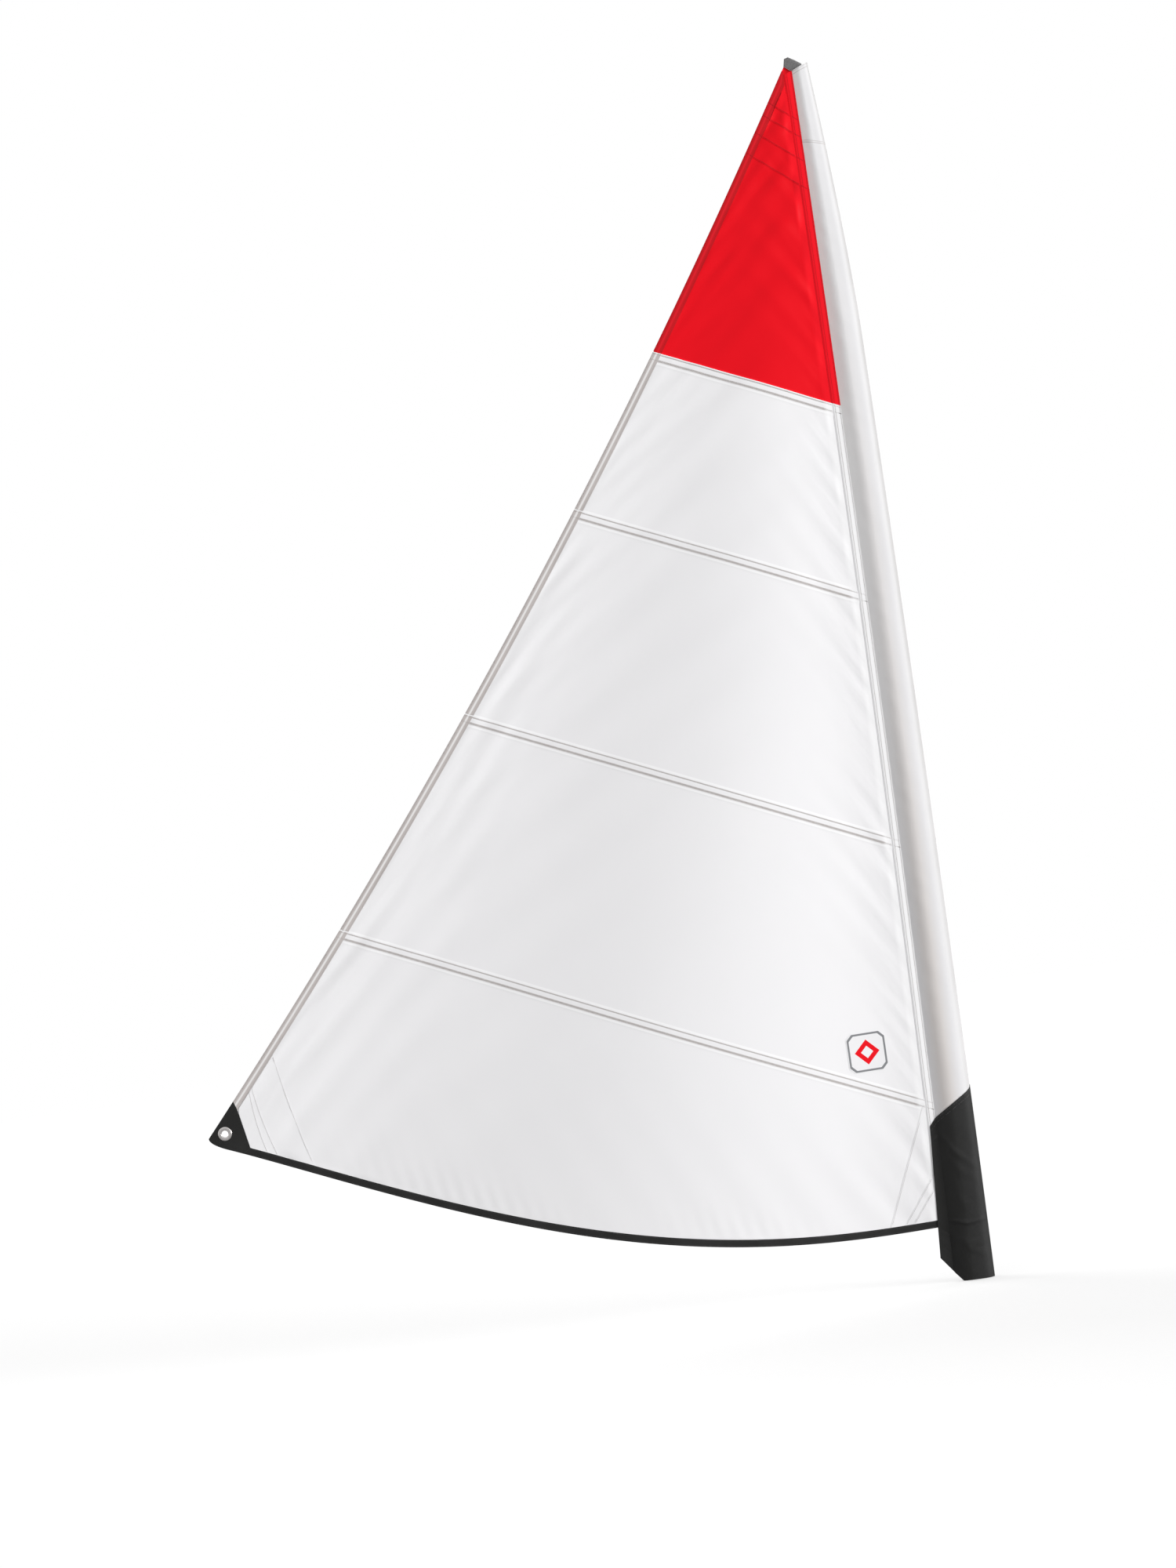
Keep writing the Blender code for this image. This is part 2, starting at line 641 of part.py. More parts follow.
def make_clew_patch(black):
    """The clew's two black plates, one each side of the panel, pressed together by the eyelet."""
    leech_end, shoulder, heel, toe = clew_patch_inner()
    leech = leech_point(np.linspace(1 - CLEW_PATCH_LEECH / LEECH_LENGTH, 1, 4))
    corner = clew_corner(np.linspace(0, 1, CORNER_STEPS + 1)[1:])
    outline = np.concatenate([leech, corner, [toe, heel, shoulder]])
    for name, height in (("clew_patch_front", ON_PANEL), ("clew_patch_back", -GAP - PLATE)):
        patch = cloth(name, [outline], black, height, PLATE)
        hole_through(patch, EYELET, EYELET_HOLE + EYELET_BARREL + GAP)


def make_eyelet(nickel):
    """The clew's eyelet: a domed flange in front, a barrel through the hole and a lip over the washer."""
    front = ON_PANEL + PLATE + GAP
    washer_front = -2 * GAP - PLATE
    lip = washer_front - WASHER - GAP
    barrel = EYELET_HOLE + EYELET_BARREL
    crown = front + EYELET_CROWN
    lip_back = lip - EYELET_BARREL
    turn = np.radians([0, 45, 90])[:, None]
    bore_round = (EYELET_HOLE, crown) + EYELET_BORE_ROUND * np.hstack([1 - np.cos(turn), np.sin(turn) - 1])
    edge_round = (EYELET_FLANGE, crown) + EYELET_EDGE_ROUND * np.hstack([np.sin(turn) - 1, np.cos(turn) - 1])
    profile = (
        (EYELET_HOLE, lip_back + EYELET_LIP_ROUND),
        *bore_round,
        *edge_round,
        (EYELET_FLANGE, front),
        (barrel, front),
        (barrel, lip),
        (barrel + EYELET_LIP, lip),
        (barrel + EYELET_LIP - EYELET_LIP_ROUND, lip_back),
        (EYELET_HOLE + EYELET_LIP_ROUND, lip_back),
    )
    turned("clew_eyelet", profile, EYELET, nickel)
    inner = barrel + GAP
    washer_back = washer_front - WASHER
    ring = (
        (inner, washer_front),
        (WASHER_RADIUS, washer_front),
        (WASHER_RADIUS, washer_back + WASHER_CHAMFER),
        (WASHER_RADIUS - WASHER_CHAMFER, washer_back),
        (inner, washer_back),
    )
    turned("eyelet_washer", ring, EYELET, nickel)


def make_clew_layers(white):
    """White layers at the clew, each smaller than the one below, clear of hem, foot tape and black patch."""
    _, shoulder, heel, _ = clew_patch_inner(2 * GAP)
    edge = LEECH_HEM_WIDTH + 2 * GAP
    tape = FOOT_TAPE_WIDTH + GAP
    inner_top = leech_point(1 - CLEW_LAYER_TOP / LEECH_LENGTH, edge)
    inner_toe = heel + (GAP, GAP)
    near = shoulder + (inner_toe - shoulder) * CLEW_LAYER_SHOULDER + (2 * GAP, 0.0)
    start = (CLEW_PATCH_FOOT + FOOT_TAPE_WIDTH) / FOOT_LENGTH
    for i, (leech_reach, foot_reach) in enumerate(CLEW_LAYERS):
        top = leech_point(1 - leech_reach / LEECH_LENGTH, edge)
        foot = foot_point(np.linspace(start, foot_reach / FOOT_LENGTH, EDGE_POINTS)[1:], tape)
        bulge = (top + foot[-1]) / 2 - (CLEW_LAYER_BOW, 0.0)
        outline = np.array([inner_top, near, inner_toe, *foot, bulge, top])
        cloth(f"clew_layer_{i + 1}", [outline], white, ON_PANEL + i * LAYER_STEP)


def make_tack_layers(white):
    """White layers at the tack, each smaller than the one under it, between luff tape and foot tape."""
    tape = FOOT_TAPE_WIDTH + GAP
    edge = LUFF_TAPE_WIDTH + 2 * GAP
    heel_reach = edge + TACK_LAYER_HEEL
    heel = foot_point(1 - heel_reach / FOOT_LENGTH, tape)
    for i, (rise, reach) in enumerate(TACK_LAYERS):
        top_level = min(level_of(*heel) + rise, lap_level(LOWER_SEAM_Z))
        side = luff_at(np.linspace(top_level, level_of(*heel) + LEAST_STEP, EDGE_POINTS), edge)
        cut = side[:1] - SEAM_WAY * TACK_LAYER_CUT
        foot = foot_point(1 - np.linspace(heel_reach, edge + reach, 3) / FOOT_LENGTH, tape)
        ramp = climb_at(LOWER_SEAM_Z) if i == 0 else None
        outline = np.concatenate([cut, side, foot])
        cloth(f"tack_layer_{i + 1}", [outline], white, ON_PANEL + i * LAYER_STEP, ramp=ramp)


def make_head_patches(red):
    """Red layers at the head, each shorter than the one under it, between the leech hem and the luff tape."""
    head_level = level_of(*LEECH_HEAD)
    top_level = head_level - HEAD_PATCH_TOP_DROP
    for i, drop in enumerate(HEAD_PATCH_DROPS):
        leech_levels = np.linspace(top_level, head_level - drop, EDGE_POINTS)
        leech_side = leech_at(leech_levels, LEECH_HEM_WIDTH + GAP)
        width = LUFF_HEAD_X - LUFF_TAPE_WIDTH - leech_side[-1, 0]
        low_level = head_level - drop - (HEAD_PATCH_SLOPE - SLOPE) * width
        luff_side = luff_at(np.linspace(low_level, top_level, EDGE_POINTS), LUFF_TAPE_WIDTH + GAP)
        outline = np.concatenate([leech_side, luff_side])
        cloth(f"head_patch_{i + 1}", [outline], red, ON_PANEL + i * LAYER_STEP)


def make_badge(white):
    """A plain square badge with cut corners, above the lower seam near the luff."""
    centre = luff_at(seam_level(LOWER_SEAM_Z), BADGE_REACH) + (0.0, BADGE_RISE)
    half = BADGE_SIZE / 2
    rim = half - BADGE_CORNER
    corner = np.array([[half, rim], [rim, half]])
    outline = []
    for way in ((1, 1), (-1, 1), (-1, -1), (1, -1)):
        turned_corner = corner if way[0] * way[1] > 0 else corner[::-1]
        outline.extend(centre + turned_corner * way)
    cloth("class_badge", [np.array(outline)], white, ON_PANEL, BADGE_THICKNESS)


def round_profile():
    """Half the sleeve's section, seam to nose, as shares of its width and half depth.

    It swells from the seam on a cubic curve, runs straight over the crown and ends in a quarter ellipse.
    """
    lift = np.array(SEAM_LIFT)
    swell = np.array([SWELL, 1.0])
    crown = np.array([CROWN_START, 1.0])
    t = np.linspace(0, 1, 7)[:, None]
    rise = lift * 3 * t * (1 - t) ** 2 + swell * 3 * t**2 * (1 - t) + crown * t**3
    turn = np.radians([0, 30, 60, 90])[:, None]
    nose = np.hstack([CROWN_END + (1 - CROWN_END) * np.sin(turn), np.cos(turn)])
    return np.concatenate([rise, nose])


def profile_columns():
    return 2 * len(round_profile()) + 1


def wrapped(z, front, back, aft):
    """Points round the sleeve at heights z, rows by columns, front edge to nose to back edge.

    front and back are the flanges' heights at the seam, and aft is how far behind the seam they end. Each is
    a number or a grid like z.
    """
    front = np.broadcast_to(front, z.shape)
    back = np.broadcast_to(back, z.shape)
    aft = np.broadcast_to(aft, z.shape)
    half = round_profile()
    across = np.concatenate([half[:, 0], half[-2::-1, 0]])
    depth = np.concatenate([half[:, 1], half[-2::-1, 1]])
    side = np.sign(np.arange(len(across)) - (len(half) - 1))
    middle = z[:, 1:-1]
    seam = luff_x(middle)
    flange = np.where(side < 0, front[:, 1:-1], back[:, 1:-1])
    flange = flange * np.clip(1 - across / CROWN_START, 0, None)
    x = seam + across * (nose_x(middle) - seam)
    y = side * (depth * half_depth(middle) + flange * (1 - depth))
    points = np.stack([x, y, middle], axis=-1)
    fore = np.stack([luff_x(z[:, 0]) - aft[:, 0], -front[:, 0], z[:, 0]], axis=-1)
    rear = np.stack([luff_x(z[:, -1]) - aft[:, -1], back[:, -1], z[:, -1]], axis=-1)
    return np.concatenate([fore[:, None], points, rear[:, None]], axis=1)


def thinned(points, wall):
    """The same grid of points moved inwards by a wall, square to each row's path in plan."""
    along = np.gradient(points[..., :2], axis=1)
    along[:, 0] = points[:, 1, :2] - points[:, 0, :2]
    along[:, -1] = points[:, -1, :2] - points[:, -2, :2]
    along /= np.linalg.norm(along, axis=-1, keepdims=True)
    moved = points.copy()
    moved[..., 0] -= along[..., 1] * wall
    moved[..., 1] += along[..., 0] * wall
    return moved


def make_sleeve(white):
    """The sleeve, a cloth folded round the mast and sewn to both faces of the panels, and its head lining."""
    level_top = np.full((1, profile_columns()), SLEEVE_TOP_Z)
    around = wrapped(level_top, SLEEVE_FRONT, SLEEVE_BACK, FLANGE_WIDTH)[..., 0]
    aft_of_nose = nose_x(SLEEVE_TOP_Z) - around
    top = SLEEVE_TOP_Z - TOP_TILT * aft_of_nose
    share = np.linspace(0, 1, SLEEVE_ROWS)[:, None]
    z = SLEEVE_FOOT_Z + (top - SLEEVE_FOOT_Z) * (1 - (1 - share) ** SLEEVE_CROWDING)
    outside = wrapped(z, SLEEVE_FRONT, SLEEVE_BACK, FLANGE_WIDTH)
    shell("mast_sleeve", outside, thinned(outside, SLEEVE_WALL), white)
    low = SLEEVE_TOP_Z - LINING_LENGTH + LINING_TILT * aft_of_nose
    lining_z = low + (top - LINING_TOP_DROP - low) * np.linspace(0, 1, LINING_ROWS)[:, None]
    beside = wrapped(lining_z, SLEEVE_FRONT, SLEEVE_BACK, FLANGE_WIDTH)
    clear_of_seam = slice(4, -4)
    lining = thinned(beside, SLEEVE_WALL + GAP)[:, clear_of_seam]
    shell("head_lining", lining, thinned(lining, CLOTH), white)


def make_boot(black):
    """The boot: heavy cloth folded round the sleeve's foot, its flanges over the tack, sewn shut below it."""
    grow = GAP + BOOT_WALL
    level_foot = np.full((1, profile_columns()), TACK_Z)
    around = wrapped(level_foot, BOOT_FRONT, BOOT_BACK, BOOT_FOOT_REACH)[0]
    run = np.concatenate([[0], np.cumsum(np.hypot(*np.diff(around[:, :2], axis=0).T))])
    top = BOOT_AFT_HEIGHT + BOOT_TOP_SLOPE * np.minimum(run, run[-1] - run)
    bottom = np.maximum(0.0, BOOT_CUT_SLOPE * (luff_x(0.0) + BOOT_CUT_REACH - around[:, 0]))
    z = bottom + (top - bottom) * np.linspace(0, 1, BOOT_ROWS)[:, None]
    opening = np.clip((z - TACK_Z + BOOT_CLOSING) / (BOOT_CLOSING - BOOT_OPEN_BELOW), 0.0, 1.0)
    front = BOOT_SHUT + (BOOT_FRONT - BOOT_SHUT) * opening
    back = BOOT_SHUT + (BOOT_BACK - BOOT_SHUT) * opening
    reach = BOOT_FOOT_REACH + (BOOT_TOP_REACH - BOOT_FOOT_REACH) * z / BOOT_AFT_HEIGHT
    around_sleeve = wrapped(z, front - grow, back - grow, reach)
    outside = thinned(around_sleeve, -grow)
    shell("sleeve_boot", outside, thinned(outside, BOOT_WALL), black)


FOLD_TURNS = np.radians([90, 45, 0, -45, -90])


def make_head_strap(grey):
    """Webbing folded over the head: it holds the red tip aft, and its fold rests on the mast's tip."""
    nose = nose_x(SLEEVE_TOP_Z)
    tip_x, tip_z = LEECH_HEAD
    edge_places = [(tip_x, tip_z), *[(LUFF_HEAD_X, HEAD_Z)] * 3, (nose, HEAD_Z)]
    fold_places = [(tip_x, tip_z)] * 2 + [(LUFF_HEAD_X, tip_z)] * 2 + [(nose, tip_z)]
    low = np.array(edge_places) + STRAP_EDGE
    high = np.array(fold_places) + np.array(STRAP_FOLD) * (1.0, STRAP_TOP_RISE)
    reach = (low[:, 0] - low[0, 0]) / (low[-1, 0] - low[0, 0])
    half_gap = STRAP_AFT_GAP + (STRAP_NOSE_GAP - STRAP_AFT_GAP) * reach

    def skin(wall):
        rows = []
        for foot, fold, gap in zip(low, high, half_gap):
            way = (fold - foot) / np.hypot(*(fold - foot))
            centre = fold - way * (gap + WEBBING)
            radius = gap + wall
            row = [(foot[0], -radius, foot[1])]
            for turn in FOLD_TURNS:
                point = centre + way * radius * math.cos(turn)
                row.append((point[0], -radius * math.sin(turn), point[1]))
            row.append((foot[0], radius, foot[1]))
            rows.append(row)
        return np.array(rows)

    shell("head_strap", skin(WEBBING), skin(0.0), grey)


clear_scene()
white_cloth = new_material("white_cloth", (0.86, 0.87, 0.88), 0.45)
red_cloth = new_material("red_cloth", (0.80, 0.008, 0.016), 0.45)
grey_tape = new_material("grey_tape", (0.42, 0.41, 0.42), 0.6)
black_cloth = new_material("black_cloth", (0.016, 0.016, 0.017), 0.6)
grey_webbing = new_material("grey_webbing", (0.20, 0.20, 0.20), 0.7)
nickel_plate = new_material("nickel_plate", (0.66, 0.65, 0.63), 0.25, metallic=1.0)
make_head_panel(red_cloth)
make_body_panels(white_cloth)
make_foot_panel(white_cloth)
make_sleeve(white_cloth)
make_boot(black_cloth)
make_head_strap(grey_webbing)
make_leech_hems(red_cloth, grey_tape)
make_luff_tapes(red_cloth, white_cloth)
make_foot_tape(black_cloth)
make_clew_patch(black_cloth)
make_eyelet(nickel_plate)
make_clew_layers(white_cloth)
make_tack_layers(white_cloth)
make_head_patches(red_cloth)
make_badge(white_cloth)
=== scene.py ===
"""The looks of a small dinghy's sail: sewn panels on a mast sleeve, with its boot, tapes, hems and eyelet.

Metres, +Z up the mast, -X aft towards the clew, and the side on show faces -Y. Each section makes one piece
or a group of like pieces, in the order in which a sailmaker puts them together. Points of the flat cut are
called plan points, (x, z), and a height is a distance off the cloth, towards the side on show.
"""

import math

import bmesh
import bpy
import numpy as np
from mathutils import Matrix


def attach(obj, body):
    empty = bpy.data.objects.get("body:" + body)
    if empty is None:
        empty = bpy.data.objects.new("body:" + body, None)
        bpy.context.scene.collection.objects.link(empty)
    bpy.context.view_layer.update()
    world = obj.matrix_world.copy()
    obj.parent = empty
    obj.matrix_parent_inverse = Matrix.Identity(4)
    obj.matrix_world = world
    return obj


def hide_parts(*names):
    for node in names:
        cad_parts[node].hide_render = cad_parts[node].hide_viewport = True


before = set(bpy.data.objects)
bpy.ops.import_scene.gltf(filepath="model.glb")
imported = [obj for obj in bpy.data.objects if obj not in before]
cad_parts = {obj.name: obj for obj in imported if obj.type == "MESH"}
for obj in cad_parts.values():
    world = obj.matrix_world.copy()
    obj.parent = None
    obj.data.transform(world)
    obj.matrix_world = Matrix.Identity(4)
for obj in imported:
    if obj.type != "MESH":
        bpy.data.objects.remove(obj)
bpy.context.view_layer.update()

# The panels
# Five cloths of resin-finished polyester, cut on curved edges so that they belly when sewn side by side.
# The lower edge of each lies behind the next one down, which climbs over it in a narrow ramp.

HEAD_Z = 3.893
TACK_Z = 0.178
LUFF_HEAD_X = -0.064
LUFF_TACK_X = -0.094
LUFF_ROUND = 0.013
HEAD_WIDTH = 0.026
HEAD_TIP_RISE = 0.016
CLEW = np.array([-2.390, 0.788])
LEECH_HOLLOW = 0.082
CLEW_DROP = 0.021
FOOT_ROUND = 0.146
FOOT_SKEW = 1.2
CLEW_CORNER_SHARE = 0.03
SEAM_ANGLE = math.radians(24.3)
RED_SEAM_Z = 2.815
UPPER_SEAM_Z = 2.210
MIDDLE_SEAM_Z = 1.420
LOWER_SEAM_Z = 0.578
SEAM_LAP = 0.029
LAP_RAMP = 0.014
DRAFT = 0.080
DRAFT_EASE = 0.90
DRAFT_PLACE = 0.4
LUFF_STRIP = 0.030
LEECH_STRIP = 0.028
CLOTH = 0.0004
TAPE = 0.0005
GAP = 0.0004
LUFF_ROOM = 0.003
EDGE_ROOM = TAPE + GAP
LAYER_STEP = CLOTH + GAP
ON_PANEL = LAYER_STEP
HEM_STOP = 0.002
TIP_DROP = 0.014
TIP_TUCK = np.array([(0.0185, 0.016), (0.0085, 0.012)])

SLOPE = math.tan(SEAM_ANGLE)
SEAM_WAY = np.array([math.cos(SEAM_ANGLE), -math.sin(SEAM_ANGLE)])
LEECH_HEAD = np.array([LUFF_HEAD_X - HEAD_WIDTH, HEAD_Z + HEAD_TIP_RISE])
LEECH_RUN = CLEW - LEECH_HEAD
LEECH_LENGTH = float(np.hypot(*LEECH_RUN))
LEECH_IN = np.array([-LEECH_RUN[1], LEECH_RUN[0]]) / LEECH_LENGTH
FOOT_START = CLEW - (0.0, CLEW_DROP)
FOOT_RUN = np.array([LUFF_TACK_X, TACK_Z]) - FOOT_START
FOOT_LENGTH = float(np.hypot(*FOOT_RUN))
FOOT_OUT = np.array([FOOT_RUN[1], -FOOT_RUN[0]]) / FOOT_LENGTH
FINE_STEP = 0.003
FINE_DEPTH = 0.054
CLOTH_STEP = 0.009
FAR = 1.0
NEARLY_NONE = 0.0001
FEWEST_COLUMNS = 12
TIP_ROWS = 14
FOOT_GRID_ROWS = 92
SIDE_POINTS = 200
CORNER_POINTS = 60
FOOT_POINTS = 400
LUFF_ROUNDS = 4


def ramp(value, start, end):
    """0 up to the start, 1 from the end on, and straight between them."""
    return np.clip((value - start) / (end - start), 0.0, 1.0)


def eased(share):
    """Rises from 0 to 1 as the share does, but slowly at both ends."""
    return share**2 * (3 - 2 * share)


def luff_x(z):
    """The seam between sleeve and body: a straight line with a parabola's round, fullest half way up."""
    up = (z - TACK_Z) / (HEAD_Z - TACK_Z)
    return LUFF_TACK_X + (LUFF_HEAD_X - LUFF_TACK_X) * up + LUFF_ROUND * 4 * up * (1 - up)


def level_of(x, z):
    """A measure that is the same all along any line parallel to the seams: z plus the slope times x."""
    return z + SLOPE * x


def luff_at(level, inset=0.0):
    """Where the line of this level meets the luff, moved aft along it by an inset measured along X."""
    z = level - SLOPE * LUFF_TACK_X
    for _ in range(LUFF_ROUNDS):
        z = level - SLOPE * luff_x(z)
    point = np.stack(np.broadcast_arrays(luff_x(z), z), axis=-1)
    return point - SEAM_WAY * (np.asarray(inset)[..., None] / SEAM_WAY[0])


def leech_point(share, inset=0.0):
    """A point on the leech, head 0 to clew 1: the chord, hollowed by a parabola, moved in by inset."""
    share = np.asarray(share, float)[..., None]
    inset = np.asarray(inset, float)[..., None]
    return LEECH_HEAD + LEECH_RUN * share + LEECH_IN * (LEECH_HOLLOW * 4 * share * (1 - share) + inset)


def leech_at(level, inset=0.0):
    """Where the line of this level crosses the leech, by the root of a quadratic in the leech's share."""
    bow = 4 * LEECH_HOLLOW * level_of(*LEECH_IN)
    start = level_of(*LEECH_HEAD) + level_of(*LEECH_IN) * inset - level
    run = level_of(*LEECH_RUN) + bow
    return leech_point(-2 * start / (run - np.sqrt(run * run + 4 * bow * start)), inset)


def foot_point(share, inset=0.0):
    """A point on the foot, clew 0 to tack 1: the chord, bulged by a skewed parabola, moved up by inset."""
    along = np.asarray(share, float)[..., None]
    inset = np.asarray(inset, float)[..., None]
    skewed = along**FOOT_SKEW
    return FOOT_START + FOOT_RUN * along + FOOT_OUT * (FOOT_ROUND * 4 * skewed * (1 - skewed) - inset)


def clew_corner(share, inset=0.0):
    """The clew's rounded end: a quadratic curve from the leech round to a point on the foot."""
    t = np.asarray(share, float)[..., None]
    turn = foot_point(0.0, inset) + (inset, 0.0)
    end = foot_point(CLEW_CORNER_SHARE, inset)
    return leech_point(1.0, inset) * (1 - t) ** 2 + turn * 2 * t * (1 - t) + end * t**2


def seam_level(height):
    return level_of(luff_x(height), height)


def lap_level(height):
    """Level of a seam's lower line, where the panel above ends behind this one."""
    return seam_level(height) - SEAM_LAP / math.cos(SEAM_ANGLE)


def from_luff(x, z):
    return luff_x(z) - x


def from_leech(x, z):
    """Distance in from the leech: the distance from its chord, less the hollow there."""
    across = (x - LEECH_HEAD[0]) * LEECH_IN[0] + (z - LEECH_HEAD[1]) * LEECH_IN[1]
    share = ((x - LEECH_HEAD[0]) * LEECH_RUN[0] + (z - LEECH_HEAD[1]) * LEECH_RUN[1]) / LEECH_LENGTH**2
    return across - LEECH_HOLLOW * 4 * share * (1 - share)


def leech_share(point):
    """How far down the leech's chord a point lies, head 0 to clew 1."""
    return (point - LEECH_HEAD) @ LEECH_RUN / LEECH_LENGTH**2


def from_foot(x, z):
    """Distance up from the foot: its bulge, less the distance from its chord."""
    out = (x - FOOT_START[0]) * FOOT_OUT[0] + (z - FOOT_START[1]) * FOOT_OUT[1]
    share = ((x - FOOT_START[0]) * FOOT_RUN[0] + (z - FOOT_START[1]) * FOOT_RUN[1]) / FOOT_LENGTH**2
    skewed = np.clip(share, 0.0, 1.0) ** FOOT_SKEW
    return FOOT_ROUND * 4 * skewed * (1 - skewed) - out


# Creases: wave length, direction in degrees, height, the edge they start from, their peak and their reach
CREASES = (
    (0.050, 29.0, 0.00110, from_luff, 0.045, 0.130),
    (0.087, 33.0, 0.00135, from_luff, 0.080, 0.260),
    (0.055, -47.0, 0.00190, from_leech, 0.050, 0.110),
    (0.085, -42.0, 0.00290, from_leech, 0.070, 0.200),
    (0.068, -63.0, 0.00190, from_leech, 0.090, 0.260),
    (0.120, -50.0, 0.00310, from_leech, 0.150, 0.420),
    (0.210, -66.0, 0.00460, from_leech, 0.260, 0.700),
    (0.047, 8.0, 0.00070, from_foot, 0.050, 0.120),
    (0.150, 24.0, 0.00190, from_foot, 0.120, 0.360),
)
# The cloth is still along an edge up to the first distance, and moves freely from the second
LUFF_CALM = (0.025, 0.050)
HEM_CALM = (0.018, 0.032)
CLEW_CALM = (0.130, 0.270)
BEND = 1.2
DRIFT = 0.9
UNEVEN = 0.45


def creased(x, z):
    """Gentle waves in the cloth: each a sine across its direction, bent by slower sines, that rises from an
    edge to its peak and dies away, and is still along every sewn edge and round the clew."""
    from_clew = np.hypot(x - CLEW[0], z - CLEW[1])
    calm = 1.0
    for distance, (still, free) in (
        (from_luff(x, z), LUFF_CALM),
        (from_leech(x, z), HEM_CALM),
        (from_foot(x, z), HEM_CALM),
        (from_clew, CLEW_CALM),
    ):
        calm = calm * ramp(distance, still, free) ** 2
    total = 0.0
    for length, degrees, height, edge, peak, reach in CREASES:
        way = math.radians(degrees)
        across = x * math.cos(way) + z * math.sin(way)
        along = z * math.cos(way) - x * math.sin(way)
        bend = BEND * np.sin(along / (4 * length) + 3 * across) + DRIFT * np.sin(along / (9 * length))
        size = 1 - UNEVEN + UNEVEN * np.sin(along / (3 * length) + across / (2 * length))
        distance = np.clip(edge(x, z), 0.0, None)
        fade = distance / peak * np.exp(1 - distance / peak) * np.exp(-distance / reach)
        total = total + height * size * fade * np.sin(2 * math.pi * across / length + bend)
    return total * calm


def camber(x, z):
    """How far the cloth stands towards +Y: its creases, less a draft of s squared times (1 - s) cubed."""
    level = level_of(x, z)
    fore = luff_at(level, LUFF_STRIP)[..., 0]
    aft = leech_at(level, LEECH_STRIP)[..., 0]
    chord = np.maximum(fore - aft, NEARLY_NONE)
    share = np.clip((fore - x) / chord, 0.0, 1.0)
    fullest = DRAFT_PLACE**2 * (1 - DRAFT_PLACE) ** 3
    return creased(x, z) - DRAFT * chord**2 / (chord + DRAFT_EASE) * share**2 * (1 - share) ** 3 / fullest


def laid(plan, height):
    """Plan points put on the cambered cloth and lifted off it by height, along its normal."""
    x, z = plan[..., 0], plan[..., 1]
    step = 0.001
    rise_x = (camber(x + step, z) - camber(x - step, z)) / (2 * step)
    rise_z = (camber(x, z + step) - camber(x, z - step)) / (2 * step)
    lift = height / np.sqrt(rise_x**2 + rise_z**2 + 1)
    return np.stack([x + rise_x * lift, camber(x, z) - lift, z + rise_z * lift], axis=-1)


def skins_at(plan, height, wall):
    """A cloth's two skins over plan points: the one on show, a wall higher, and the one behind it."""
    return laid(plan, height + wall), laid(plan, height)


def shown(name, points, faces, finish, fields=None, sharp=40):
    """A mesh from arrays of points and faces, smooth but for its sharp edges, with fields as attributes."""
    mesh = bpy.data.meshes.new(name)
    mesh.from_pydata(points.reshape(-1, 3), [], faces)
    for field, values in (fields or {}).items():
        attribute = mesh.attributes.new(field, "FLOAT", "POINT")
        attribute.data.foreach_set("value", values.ravel().astype(np.float32))
    mesh.materials.append(finish)
    mesh.shade_smooth()
    mesh.set_sharp_from_angle(angle=math.radians(sharp))
    piece = bpy.data.objects.new(name, mesh)
    bpy.context.collection.objects.link(piece)
    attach(piece, "root")
    return piece


def walled(node, slot, face, back, finish, fields=None, ring=False, sharp=40):
    """A wall between two grids of points, rows by columns, closed by a rim. A ring's last column meets its
    first. It stands for the CAD node of that name. Its faces are turned over where their normals, taken
    together, point from the face grid to the back grid."""
    rows, columns = face.shape[:2]
    corner = np.arange(rows * columns).reshape(rows, columns)
    if ring:
        corner = np.concatenate([corner, corner[:, :1]], axis=1)
    quads = np.stack([corner[:-1, :-1], corner[:-1, 1:], corner[1:, 1:], corner[1:, :-1]], axis=-1)
    quads = quads.reshape(-1, 4)
    rim = [np.stack([line[1:], line[:-1]], axis=-1) for line in (corner[0], corner[-1, ::-1])]
    if not ring:
        rim += [np.stack([line[1:], line[:-1]], axis=-1) for line in (corner[::-1, 0], corner[:, -1])]
    rim = np.concatenate(rim)
    edges = np.concatenate([rim, rim[:, ::-1] + rows * columns], axis=1)
    points = np.concatenate([face.reshape(-1, 3), back.reshape(-1, 3)])
    faces = np.concatenate([quads, quads[:, ::-1] + rows * columns, edges])
    a, b, c, d = (points[quads[:, i]] for i in range(4))
    outward = np.einsum("ij,ij->i", np.cross(c - a, d - b), a - points[quads[:, 0] + rows * columns])
    if outward.sum() < 0:
        faces = faces[:, ::-1]
    doubled = {
        field: np.tile(np.broadcast_to(values, (rows, columns)).ravel(), 2)
        for field, values in (fields or {}).items()
    }
    piece = shown(f"{node}_sewn", points, faces, finish, doubled, sharp)
    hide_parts(node)
    return piece


